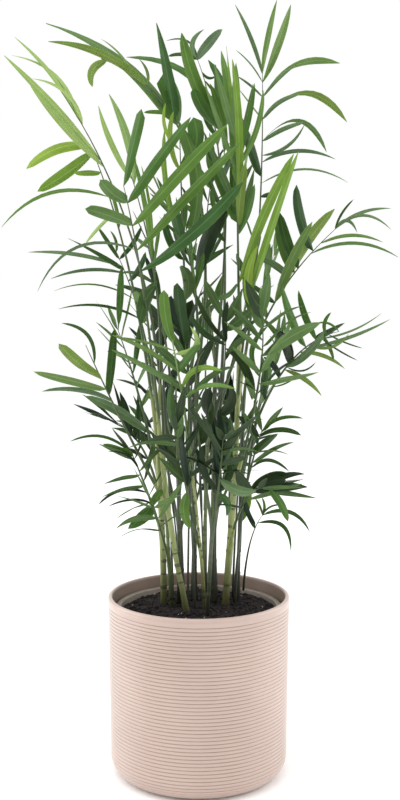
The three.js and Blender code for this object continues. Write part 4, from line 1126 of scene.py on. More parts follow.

# The darkest leaf tone, on the inner, low and back fronds, is painted shade.
FRONDS = {
    "crown_right": Frond("right_leaning", 316, (48, 20, 434), (52, 35, 576), 0.6, 0),
    "left_spray": Frond("left_thin", 248, (-45, -25, 417), (-103, -50, 552), 0.72, 15),
    "left_fan": Frond("left_front", 278, (-54, -18, 414), (-84, -30, 515), 0.72, 10),
    "crown_left": Frond("middle", 290, (-2, 28, 493), (-78, 15, 586), 0.6, 50),
    "crown_middle": Frond(
        "right_thick", 338, (22, 30, 450), (19, 25, 529), 0.5, 15,
        Rule(2, (56, 88, 50, 62), 10, (42, 24, 30, 8), 0.5, DARK, slim=0.6, wild=0, left_out=(1,)),
    ),
    "crown_back": Frond("back_right", 322, (20, 74, 485), (-1, 85, 595), 0.64, 10),
    "crown_front": Frond(
        "right_leaning", 352, (31, -15, 442), (29, -20, 521), 0.5, 20,
        Rule(4, (60, 70, 56, 66), 8.5, (24, 10, 24, 10), 0.2, MID, slim=0.7, wild=0, sky=0.2, left_out=(0,)),
    ),
    "left_broad": Frond("left_leaning", 262, (-40, -60, 389), (-55, -85, 481), 0.52, 15),
    "pale_spear": Frond("left_leaning", 306, (-33, -28, 402), (-56, -12, 501), 0.8, 10),
    "upper_middle": Frond("middle", 270, (-12, 0, 426), (-15, -20, 533), 0.5, 20),
    "right_spear": Frond("right_leaning", 300, (35, -35, 362), (46, -50, 424), 0.66, 15),
    "right_long": Frond("right_outer", 290, (53, 0, 376), (108, -10, 450), 0.62, 20),
    "right_low": Frond("right_outer", 250, (65, -20, 335), (109, -40, 371), 0.45, 25),
    "right_front": Frond(
        "right_leaning", 240, (45, -60, 327), (47, -90, 384), 0.45, 10,
        Rule(6, (40, 34, 44, 38), 8.5, (42, 24, 42, 24), 0.9, DARK, slim=1),
    ),
    "left_middle": Frond("left_front", 260, (-42, 10, 354), (-67, 14, 432), 0.5, 25),
    "left_low": Frond("left_leaning", 226, (-59, -35, 297), (-87, -50, 361), 0.4, 20),
    "front_bright": Frond("front_thin", 254, (-12, -70, 321), (-24, -95, 390), 0.42, 0, pale=True),
    "foot_left": Frond(
        "left_front", 200, (-42, -22, 243), (-54, -38, 278), 0.4, 20,
        Rule(4, (36, 31, 34, 29), 7, (60, 25, 60, 25), 0.8, DARK, wild=0.6),
    ),
    "foot_left_front": Frond(
        "left_thin", 180, (-30, -45, 215), (-36, -60, 242), 0.55, 10,
        Rule(3, (34, 29, 34, 29), 7, (46, 31, 46, 31), 0.7, DARK),
    ),
    "foot_right": Frond(
        "right_outer", 215, (43, -5, 260), (51, -10, 289), 0.4, 15,
        Rule(5, (30, 26, 36, 31), 8, (60, 30, 60, 30), 1, DARK, wild=0.6),
    ),
    "foot_right_front": Frond(
        "right_leaning", 190, (37, -45, 239), (55, -60, 251), 0.4, 30,
        Rule(5, (34, 29, 40, 34), 7.5, (42, 14, 42, 14), 0.5, DEEP, slim=1),
    ),
    "seedling": Frond(None, 0, (43, 30, 185), (53, 15, 214), 0.6, 10, foot=(38, 38)),
    "inner_left": Frond(
        "middle_left", 240, (-8, -26, 302), (-12, -40, 372), 0.45, 35,
        Rule(6, (46, 39, 46, 39), 8, (42, 21, 42, 21), 0.6, DARK, slim=1.15, wild=0.9, left_out=(1,)),
    ),
    "inner_right": Frond(
        "middle_thin", 256, (18, -32, 318), (21, -45, 380), 0.45, -40,
        Rule(
            6, (42, 36, 42, 36), 8, (42, 21, 42, 21), 0.6, DARK,
            slim=1.15, wild=0.9, left_out=(1, 2, 4), right_out=(0, 1, 2),
        ),
    ),
    "front_left": Frond(
        "front_thin", 190, (-11, -50, 256), (-17, -90, 301), 0.4, 20,
        Rule(6, (40, 34, 44, 37), 6.5, (42, 24, 42, 24), 0.7, DEEP, slim=1.15, wild=0.9),
    ),
    "front_right": Frond(
        "front_short", 200, (16, -60, 257), (18, -100, 295), 0.4, -25,
        Rule(6, (42, 36, 42, 36), 6.5, (42, 24, 42, 24), 0.7, DEEP, slim=1.15, wild=0.9),
    ),
    "back_low_middle": Frond(
        "back_left", 200, (0, 58, 226), (-2, 84, 262), 0.4, 35,
        Rule(6, (44, 37, 44, 37), 8, (42, 24, 42, 24), 0.6, DEEP, slim=1),
    ),
    "back_low_right": Frond(
        "back_right", 210, (29, 62, 248), (27, 92, 302), 0.4, -40,
        Rule(6, (44, 37, 44, 37), 8, (42, 24, 42, 24), 0.6, DEEP, slim=1),
    ),
    "back_left": Frond(
        "back_left", 250, (-29, 64, 300), (-41, 90, 364), 0.45, 50,
        Rule(6, (46, 39, 46, 39), 8, (42, 24, 42, 24), 0.6, DEEP, slim=1),
    ),
    "back_tall": Frond(
        "back_left", 292, (-2, 70, 365), (-11, 100, 451), 0.5, 60,
        Rule(6, (44, 37, 44, 37), 8.5, (38, 21, 38, 21), 0.6, DARK, left_out=(1, 2, 3)),
    ),
    "back_left_tall": Frond(
        "back_left", 266, (-29, 72, 357), (-43, 100, 434), 0.5, -50,
        Rule(6, (46, 39, 46, 39), 8, (38, 21, 38, 21), 0.6, DARK),
    ),
    "back_right_tall": Frond(
        "back_right", 300, (36, 74, 365), (50, 100, 434), 0.5, -60,
        Rule(6, (36, 31, 36, 31), 7, (35, 21, 35, 21), 0.5, DARK),
    ),
    "left_low_back": Frond(
        "left_front", 222, (-46, 20, 268), (-73, 32, 292), 0.45, 30,
        Rule(5, (36, 31, 36, 31), 7, (42, 14, 42, 14), 0.5, DEEP),
    ),
    "side_right": Frond(
        "right_outer", 240, (53, 34, 309), (73, 48, 358), 0.45, 80,
        Rule(6, (42, 36, 42, 36), 8, (38, 21, 38, 21), 0.5, MID),
    ),
    "side_left": Frond(
        "left_front", 244, (-49, 27, 310), (-68, 44, 367), 0.45, 100,
        Rule(6, (42, 36, 42, 36), 8, (38, 21, 38, 21), 0.5, MID),
    ),
    "middle_cross": Frond(
        "middle", 256, (-2, 8, 394), (-27, 0, 473), 0.5, 70,
        Rule(6, (44, 37, 44, 37), 8, (38, 21, 38, 21), 0.5, MID),
    ),
    "right_cross": Frond(
        "right_thick", 300, (40, 28, 369), (62, 36, 429), 0.5, 100,
        Rule(6, (40, 34, 40, 34), 8, (35, 21, 35, 21), 0.5, MID),
    ),
    "back_arching": Frond(
        "back_right", 256, (6, 92, 311), (12, 130, 380), 0.45, 0,
        Rule(6, (42, 36, 42, 36), 8, (38, 21, 38, 21), 0.6, DARK, left_out=(1, 2), right_out=(1, 2, 4)),
    ),
    "back_right_arching": Frond(
        "back_right", 186, (24, 82, 246), (36, 124, 285), 0.4, 10,
        Rule(6, (40, 34, 40, 34), 8, (38, 21, 38, 21), 0.6, DEEP),
    ),
    "back_left_arching": Frond(
        "back_left", 186, (-29, 78, 246), (-46, 118, 278), 0.4, -10,
        Rule(6, (40, 34, 40, 34), 8, (38, 21, 38, 21), 0.6, DEEP),
    ),
    "back_high": Frond(
        "back_right", 312, (6, 96, 416), (14, 125, 513), 0.52, 0,
        Rule(6, (40, 34, 40, 34), 8, (35, 17, 35, 17), 0.5, DARK),
    ),
    "front_middle": Frond("front_short", 218, (-2, -74, 318), (4, -104, 361), 0.45, 0),
}

# Greyish leaflets stand for a painted sheen, and the darkest ones for painted shade.
LONE_LEAVES = (
    Lone("left_spray", 0.8, (-148, -35, 581), 6.5, -2, 31, PALE, TAPERED),
    Lone("left_spray", 0.78, (-125, -60, 555), 5, 2, -15, PALE, TAPERED),
    Lone("left_spray", 0.9, (-141, -27, 596), 4, -5, 20, PALE, TAPERED),
    Lone("left_spray", 0.9, (-123, -66, 560), 3.5, -9, -40, PALE, TAPERED),
    Lone("left_spray", 0.92, (-144, -23, 583), 3, -12, 30, PALE, TAPERED),
    Lone("left_fan", 1, (-134, -23, 497), 9.5, -6, 31, LIGHT),
    Lone("left_fan", 0.96, (-121, -59, 478), 10, 1, -35, LIGHT),
    Lone("left_fan", 0.88, (-96, -30, 493), 5.5, 0, 33, LIGHT),
    Lone("left_fan", 0.78, (-148, -65, 451), 3, -15, -10, LIGHT, TAPERED),
    Lone("pale_spear", 0.94, (-80, 9, 548), 5.5, 3, 34, PALE, TAPERED),
    Lone("pale_spear", 0.92, (-69, -26, 553), 7.5, -4, -32, PALE, TAPERED),
    Lone("left_broad", 1, (-41, -101, 534), 10, 0, -35, MID, (0.45, 0.15)),
    Lone("left_broad", 0.92, (-72, -84, 485), 11, 2, -33, SOFT, (0.3, 0.3)),
    Lone("left_broad", 0.82, (-83, -85, 464), 10, -1, -31, SOFT, (0.3, 0.3)),
    Lone("left_broad", 0.92, (-6, -84, 530), 10.5, 1, -34, MID),
    Lone("left_broad", 0.82, (20, -99, 523), 10.5, 1, -32, MID),
    Lone("left_broad", 0.72, (30, -78, 512), 10, 1, -35, MID, (0.6, 0.45)),
    Lone("left_broad", 0.64, (32, -88, 483), 11, -4, -34, MID, (0.6, 0.45)),
    Lone("crown_left", 0.66, (-124, 37, 617), 11, -13, 32, SOFT, (0.35, 0.9)),
    Lone("crown_left", 0.82, (-116, -19, 594), 6.5, -8, -20, SOFT, TAPERED),
    Lone("crown_left", 0.66, (-29, 22, 574), 18.5, -3, 33, MID, (0.35, 0.14)),
    Lone("crown_left", 0.98, (-84, -2, 562), 7, -6, -36, SOFT),
    Lone("crown_left", 0.88, (-79, 33, 604), 2, -3, 30, SILVER, TAPERED),
    Lone("crown_middle", 1, (-59, 42, 591), 7.5, -20, 32, MID),
    Lone("crown_left", 0.68, (-33, -5, 610), 11, -1, -35, MID, (0.3, 0.7)),
    Lone("crown_middle", 1, (-13, -26, 599), 11.5, 5, -33, MID),
    Lone("crown_back", 1, (20, 98, 622), 9, 1, 31, SILVER, (0.5, 0.5)),
    Lone("crown_back", 1, (4, 92, 621), 4.5, 7, 8, SILVER, TAPERED),
    Lone("crown_front", 0.76, (18, 4, 590), 9, -3, 33, LIGHT),
    Lone("crown_front", 0.68, (25, -64, 574), 7, -3, -36, LIGHT),
    Lone("crown_middle", 1, (8, 39, 588), 8.5, -8, 34, MID),
    Lone("crown_middle", 0.88, (9, -2, 564), 7, -3, -32, MID),
    Lone("crown_right", 0.72, (29, 24, 550), 10, -1, 35, DARK),
    Lone("crown_front", 0.84, (51, -1, 559), 4.5, -5, 10, LIGHT),
    Lone("crown_front", 0.88, (43, -29, 561), 4, -2, -10, MID),
    Lone("upper_middle", 0.8, (-4, -20, 536), 14, -7, 34, MID, (0.4, 0.14)),
    Lone("upper_middle", 1, (-7, -58, 444), 13, 10, -32, DARK, (0.35, 0.5)),
    Lone("crown_middle", 0.62, (-1, 15, 410), 16.5, -4, 35, DEEP, (0.5, 0.6)),
    Lone("right_long", 0.64, (108, -4, 466), 11, 4, 33, SOFT),
    Lone("right_long", 0.6, (87, -43, 455), 8.5, 2, -32, SOFT),
    Lone("right_long", 0.88, (78, -1, 485), 10, 3, 35, DARK),
    Lone("right_long", 0.78, (63, -33, 462), 9.5, 2, -33, DARK),
    Lone("right_low", 0.74, (66, -18, 406), 8.5, 2, 36, MID, (0.5, 0.6)),
    Lone("right_low", 0.82, (76, -58, 403), 6.5, 2, -34, MID, (0.5, 0.6)),
    Lone("inner_right", 0.86, (-2, -67, 401), 5, 3, -32, DEEP),
    Lone("inner_right", 0.86, (22, -60, 395), 5.5, 2, -35, DEEP, (0.4, 0.3)),
    Lone("front_bright", 0.82, (-25, -108, 405), 8, 2, -13, MID, (0.3, 0.22)),
    Lone("pale_spear", 0.52, (-43, -88, 380), 11.5, -3, -31, DARK, (0.3, 0.4)),
    Lone("front_bright", 0.66, (-63, -100, 372), 3.5, -3, -10, SOFT),
    Lone("front_bright", 0.56, (-63, -108, 362), 5.5, -1, -32, SOFT),
    Lone("front_bright", 0.56, (17, -100, 346), 4.5, 9, -13, LIGHT),
    Lone("front_bright", 0.5, (27, -105, 333), 3.5, 7, -20, LIGHT),
    Lone("left_low", 0.68, (-66, -31, 372), 7.5, 0, 32, DARK, (0.3, 0.3)),
    Lone("left_low", 0.78, (-106, -64, 363), 11, 2, -35, SOFT, (0.5, 0.35)),
    Lone("left_low", 0.72, (-129, -35, 339), 7, 0, 33, SILVER),
    Lone("left_low", 0.64, (-118, -75, 328), 5.5, -5, -36, SILVER),
    Lone("side_left", 0.3, (-91, -12, 317), 9, -3, 34, SILVER),
    Lone("foot_left", 0.32, (-56, -31, 213), 11.5, 1, 32, MID, (0.4, 0.6)),
    Lone("foot_left", 0.9, (-74, -50, 284), 8, 0, -35, DARK),
    Lone("front_right", 0.52, (42, -104, 257), 8, -4, -33, SILVER, (0.5, 0.5)),
    Lone("foot_right", 0.62, (63, -22, 288), 9.5, 1, 31, DARK, (0.4, 0.5)),
    Lone("foot_right_front", 0.74, (93, -33, 238), 7, 0, 34, DARK, (0.4, 0.8)),
    Lone("foot_right_front", 1, (69, -64, 226), 7, 2, -33, MID, (0.4, 0.5)),
    Lone("inner_right", 0.3, (9, -72, 330), 10, 6, -36, DEEP, (0.3, 0.3)),
    Lone("inner_right", 0.38, (25, -69, 331), 9.5, -4, -34, DEEP, (0.3, 0.3)),
    Lone("inner_left", 0.54, (-24, -41, 329), 7, 6, 32, DEEP, (0.3, 0.3)),
    Lone("inner_right", 0.82, (42, -33, 317), 8, 6, 35, DEEP),
    Lone("right_low", 0.58, (58, -80, 375), 7.5, -2, -33, DEEP),
    Lone("foot_left", 0.94, (-102, -29, 283), 2.5, -9, 20, DARK),
    Lone("foot_left", 0.74, (-70, -55, 279), 2.5, -5, -20, DEEP),
    Lone("foot_left", 0.46, (-80, -29, 232), 2.5, -7, 20, DEEP),
    Lone("foot_left", 0.34, (-70, -56, 236), 2.5, -4, -20, DEEP),
    Lone("foot_left", 0.3, (-30, -34, 245), 9, 0, 33, MID, (0.3, 0.4)),
    Lone("foot_right", 0.96, (82, -33, 302), 3, 6, -20, DARK),
    Lone("foot_right", 0.88, (82, -15, 286), 5.5, 5, 35, DARK),
    Lone("foot_right", 0.46, (71, -41, 261), 3, 8, -20, DARK),
    Lone("foot_right_front", 0.64, (70, -45, 259), 8, 5, 36, DEEP),
    Lone("foot_right_front", 0.68, (67, -63, 258), 7.5, 0, -34, DEEP),
    Lone("foot_right_front", 0.48, (45, -34, 217), 5, -2, 32, DEEP),
    Lone("left_broad", 0.72, (-122, -62, 403), 2.5, -19, -15, SILVER, TAPERED),
    Lone("left_middle", 0.92, (-140, 27, 432), 3.5, -4, 12, SILVER, TAPERED),
    Lone("left_middle", 0.88, (-118, -7, 411), 3, -5, -12, SILVER, TAPERED),
    Lone("left_middle", 0.74, (-120, 29, 400), 1.5, -9, 20, DARK, TAPERED),
    Lone("left_middle", 0.64, (-112, -10, 387), 2.5, -7, -15, DARK, TAPERED),
    Lone("left_middle", 0.96, (-82, 20, 452), 3.5, 0, 12, DARK),
    Lone("left_middle", 1, (-71, 4, 449), 2.5, -2, -12, DARK),
    Lone("left_middle", 0.9, (-106, 17, 443), 4, -1, 10, DARK, (0.35, 1.1)),
    Lone("left_fan", 0.72, (-91, 3, 439), 3, -1, 12, PALE),
    Lone("left_middle", 0.92, (-64, -12, 374), 6.5, 0, -33, MID, (0.5, 0.6)),
    Lone("left_fan", 0.66, (-72, -4, 484), 3, -2, -12, MID),
    Lone("left_middle", 0.96, (-47, 25, 453), 4, -2, 12, DARK),
    Lone("left_middle", 0.84, (-43, 7, 432), 5.5, -2, -32, DARK),
    Lone("left_middle", 0.72, (-34, 24, 408), 5.5, 1, 35, MID),
    Lone("left_middle", 0.62, (-48, -36, 402), 11.5, -1, -33, MID, (0.4, 0.4)),
    Lone("left_low", 0.88, (-107, -33, 377), 3, -10, 12, DARK),
    Lone("right_long", 1, (154, 5, 467), 3, 5, 15, SILVER, TAPERED),
    Lone("right_long", 1, (150, -26, 450), 2.5, 11, -15, SILVER, TAPERED),
    Lone("right_long", 1, (126, -7, 448), 3, 8, 12, SILVER, TAPERED),
    Lone("right_long", 0.92, (144, -24, 440), 3, 6, -15, SOFT, TAPERED),
    Lone("right_long", 0.86, (162, 12, 428), 3, 10, 15, SOFT, TAPERED),
    Lone("right_long", 1, (121, -22, 473), 2, 2, -15, DARK),
    Lone("right_long", 0.76, (66, 10, 463), 12, 3, 33, DARK, (0.5, 0.35)),
    Lone("right_long", 0.72, (47, -7, 427), 7, -3, -31, SILVER, (0.4, 0.4)),
    Lone("right_long", 0.6, (43, 10, 406), 4.5, 0, 10, DARK),
    Lone("right_long", 0.52, (51, -3, 404), 6.5, 2, -32, SILVER, (0.4, 0.4)),
    Lone("right_low", 0.56, (96, -57, 372), 7, -3, -35, SILVER),
    Lone("right_low", 0.82, (114, -33, 377), 6.5, 0, 34, DARK, (0.3, 0.6)),
    Lone("right_low", 0.72, (146, -55, 381), 3, -3, -15, SILVER, TAPERED),
    Lone("right_low", 0.84, (145, -18, 384), 2, -4, 20, SILVER, TAPERED),
    Lone("right_low", 0.76, (116, -45, 369), 2.5, -6, -15, SILVER),
    Lone("right_low", 1, (90, -32, 376), 2, -4, 20, MID, TAPERED),
    Lone("right_low", 0.9, (102, -46, 386), 3, 3, -12, MID),
    Lone("right_low", 0.68, (115, -29, 341), 3.5, 4, 12, SOFT, TAPERED),
    Lone("right_low", 0.54, (95, -50, 322), 4, 3, -12, SOFT, TAPERED),
    Lone("right_low", 0.88, (106, -32, 348), 3, 1, 12, MID),
    Lone("right_low", 0.86, (123, -45, 349), 1.5, -1, -20, DARK),
    Lone("right_low", 0.92, (129, -28, 357), 1.5, -1, 20, DARK),
    Lone("right_low", 0.56, (91, -41, 347), 1.5, -5, -20, DARK),
    Lone("right_low", 0.42, (75, -24, 332), 1.5, -1, 20, DARK),
    Lone("right_low", 0.58, (62, -44, 372), 8, -3, -34, DEEP, (0.4, 0.5)),
    Lone("right_low", 0.62, (51, -20, 380), 5.5, -2, 32, DARK),
    Lone("right_low", 0.48, (51, -39, 351), 6, -2, -35, DEEP),
    Lone("right_low", 0.34, (54, -16, 342), 5.5, 0, 33, DARK),
    Lone("seedling", 1, (93, 21, 199), 4, 10, 15, DARK, TAPERED),
    Lone("seedling", 0.84, (76, 0, 187), 3.5, 12, -15, DARK, TAPERED),
    Lone("seedling", 1, (69, 19, 222), 2, 3, 15, DARK),
    Lone("seedling", 1, (47, 10, 229), 2, -1, -15, DARK),
    Lone("seedling", 1, (53, 21, 228), 2.5, -2, 15, DARK),
    Lone("seedling", 0.74, (38, 13, 222), 4, 0, -12, DARK),
    Lone("front_left", 0.4, (-7, -36, 214), 9.5, -4, 35, MID, (0.5, 0.5)),
    Lone("foot_right", 0.3, (35, 26, 206), 6.5, 3, 33, LIGHT, (0.5, 0.5)),
    Lone("front_right", 0.38, (22, -50, 227), 7, 5, -36, MID, (0.5, 0.5)),
    Lone("crown_left", 0.7, (-44, 18, 544), 3.5, -1, 12, MID),
    Lone("upper_middle", 0.88, (-26, -11, 548), 3, 6, 12, LIGHT),
    Lone("crown_back", 1, (-28, 100, 613), 2, -9, 20, DARK),
    Lone("crown_back", 1, (-26, 86, 598), 3.5, -3, 20, DARK, (0.3, 0.3)),
    Lone("crown_back", 1, (8, 94, 612), 1, 3, 20, SILVER, TAPERED),
    Lone("crown_back", 0.94, (16, 84, 582), 2.5, -4, 12, DARK, TAPERED),
    Lone("crown_back", 0.9, (17, 85, 563), 2, 0, 12, DARK, TAPERED),
    Lone("crown_front", 1, (22, 6, 594), 3.5, 0, 10, LIGHT, (0.5, 1.2)),
    Lone("crown_right", 1, (29, 11, 627), 3.5, -2, -15, SILVER, TAPERED),
    Lone("crown_right", 1, (64, 47, 637), 5.5, 1, 32, SOFT, (0.7, 0.8)),
    Lone("crown_right", 0.98, (73, 12, 627), 8.5, -1, -35, SOFT, (0.8, 0.7)),
    Lone("crown_right", 0.98, (30, 30, 595), 1.5, -2, 20, SILVER),
    Lone("crown_right", 0.94, (31, 8, 571), 2, -1, -20, SILVER),
    Lone("crown_right", 0.88, (33, 27, 563), 1.5, 0, 20, SILVER),
    Lone("crown_right", 0.94, (79, 20, 582), 3, 2, -12, SILVER, TAPERED),
    Lone("crown_right", 0.94, (117, 56, 588), 6, 13, 35, SOFT, (2.2, 0.85)),
    Lone("crown_right", 0.88, (81, 15, 558), 4, 4, -12, SILVER),
    Lone("crown_right", 0.88, (122, 42, 539), 6.5, 22, 31, SOFT, (2.2, 0.85)),
    Lone("crown_right", 0.82, (84, 7, 535), 4, 2, -12, SILVER),
    Lone("crown_right", 0.82, (105, 35, 514), 4.5, 21, 12, SOFT, (2.2, 0.85)),
    Lone("crown_right", 0.78, (84, -2, 533), 3, -6, -12, SILVER, TAPERED),
    Lone("crown_right", 0.76, (112, 34, 508), 3.5, 8, 12, SILVER, TAPERED),
    Lone("crown_right", 0.7, (118, -8, 487), 2, 11, -15, SILVER, TAPERED),
    Lone("crown_right", 0.66, (64, 15, 480), 4, 0, 12, DARK, TAPERED),
    Lone("crown_front", 0.3, (70, -76, 504), 8.5, 3, -33, LIGHT),
    Lone("right_spear", 0.84, (77, -31, 509), 7.5, 1, 31, LIGHT),
    Lone("pale_spear", 0.62, (-49, -48, 503), 4, -2, -12, LIGHT),
    Lone("upper_middle", 0.54, (-26, -41, 525), 5, 6, -32, LIGHT),
    Lone("crown_front", 0.52, (44, -13, 485), 7, -2, 35, MID),
    Lone("front_bright", 0.76, (-6, -106, 379), 5.5, -11, -13, PALE, (0.3, 0.35)),
    Lone("front_bright", 0.66, (1, -109, 366), 6, 1, -13, MID),
    Lone("front_bright", 0.78, (-58, -92, 370), 2, -1, -12, SOFT),
    Lone("crown_left", 0.82, (-47, 6, 584), 2.5, -3, -12, SILVER, TAPERED),
    Lone("upper_middle", 0.8, (-20, 3, 543), 5.5, 5, 36, LIGHT),
    Lone("inner_left", 0.92, (-16, -69, 409), 12, 1, -34, DARK, (0.4, 0.25)),
    Lone("inner_left", 0.88, (-5, -35, 395), 11.5, 2, 32, DEEP, (0.4, 0.3)),
    Lone("inner_left", 0.94, (-21, -54, 399), 10.5, 5, -35, DEEP, (0.4, 0.3)),
    Lone("inner_right", 0.84, (-6, -70, 385), 6, 4, -33, DARK),
    Lone("crown_front", 0.3, (14, -36, 396), 5, 3, -31, MID),
    Lone("inner_right", 0.74, (47, -29, 381), 4, 3, 10, DARK),
    Lone("right_front", 0.58, (52, -72, 377), 4, 9, -10, MID),
    Lone("front_left", 0.96, (-20, -84, 335), 7.5, 3, -36, DARK),
    Lone("crown_middle", 1, (-4, -17, 559), 10.5, 3, -34, MID, (0.5, 0.35)),
    Lone("front_left", 0.74, (-19, -76, 323), 6, -3, -32, DEEP),
    Lone("front_middle", 0.3, (10, -74, 320), 6.5, -2, -35, DEEP),
    Lone("front_middle", 0.3, (-2, -62, 311), 7, -1, -33, DARK),
    Lone("front_right", 0.7, (7, -66, 317), 7.5, 2, -31, DEEP),
    Lone("front_right", 0.68, (15, -60, 312), 7, -1, -34, DEEP),
    Lone("front_right", 0.64, (24, -46, 305), 7, -5, 32, DARK),
    Lone("front_left", 0.5, (-23, -74, 295), 6, 3, -35, DEEP),
    Lone("front_left", 0.44, (-13, -86, 294), 6.5, 0, -33, DEEP),
    Lone("front_right", 0.4, (3, -72, 286), 6.5, 6, -31, DEEP),
    Lone("front_right", 0.38, (12, -75, 286), 6.5, -1, -35, DEEP),
    Lone("front_right", 0.4, (23, -60, 282), 7, -5, -33, DARK),
    Lone("crown_back", 0.78, (21, 92, 572), 5, 3, 14, DARK),
    Lone("crown_back", 0.68, (4, 75, 560), 5, 3, 14, DARK),
    Lone("crown_back", 0.64, (29, 106, 550), 5, 3, 30, DARK),
    Lone("crown_back", 0.56, (6, 72, 531), 5, 3, 30, DARK),
    Lone("crown_back", 0.5, (33, 108, 519), 5.5, 3, 30, DARK),
    Lone("crown_back", 0.44, (8, 70, 501), 5, 2, 30, DARK),
    Lone("crown_back", 0.42, (31, 112, 497), 5.5, 1, 30, DARK),
    Lone("crown_back", 0.4, (11, 69, 486), 5, 3, 30, DARK),
    Lone("crown_back", 0.4, (35, 116, 486), 5.5, 1, 30, DARK),
    Lone("right_spear", 0.74, (45, -51, 437), 7, 4, -13, LIGHT, (0.3, 0.6)),
    Lone("crown_front", 0.58, (9, -1, 505), 10, -1, 32, MID),
    Lone("crown_front", 0.56, (36, -36, 500), 8, 1, -35, SOFT),
    Lone("crown_front", 0.62, (27, -4, 505), 6.5, 1, 33, MID),
    Lone("upper_middle", 0.54, (-19, -48, 468), 10.5, 1, -36, MID, (0.4, 0.4)),
    Lone("upper_middle", 0.5, (-27, -12, 462), 7, 4, 34, MID),
    Lone("upper_middle", 0.38, (-13, -47, 422), 10, -4, -13, DARK, (0.4, 0.3)),
    Lone("pale_spear", 0.62, (-46, 9, 501), 2.5, -3, 13, LIGHT),
)

ZONES = {
    "left": ("left_spray", "left_fan", "left_middle", "left_low", "foot_left", "left_low_back", "side_left",
             "crown_left"),
    "middle": ("crown_middle", "crown_front", "upper_middle", "pale_spear", "left_broad", "middle_cross",
               "inner_left", "inner_right"),
    "front": ("front_bright", "front_left", "front_right", "front_middle", "foot_left_front",
              "foot_right_front", "right_front", "right_spear"),
    "right": ("crown_right", "right_long", "right_low", "foot_right", "side_right", "right_cross",
              "seedling"),
    "back": ("crown_back", "back_low_middle", "back_low_right", "back_left", "back_tall", "back_left_tall",
             "back_right_tall", "back_arching", "back_right_arching", "back_left_arching", "back_high"),
}


# ------------------------------------------------------------------------------------------ canes


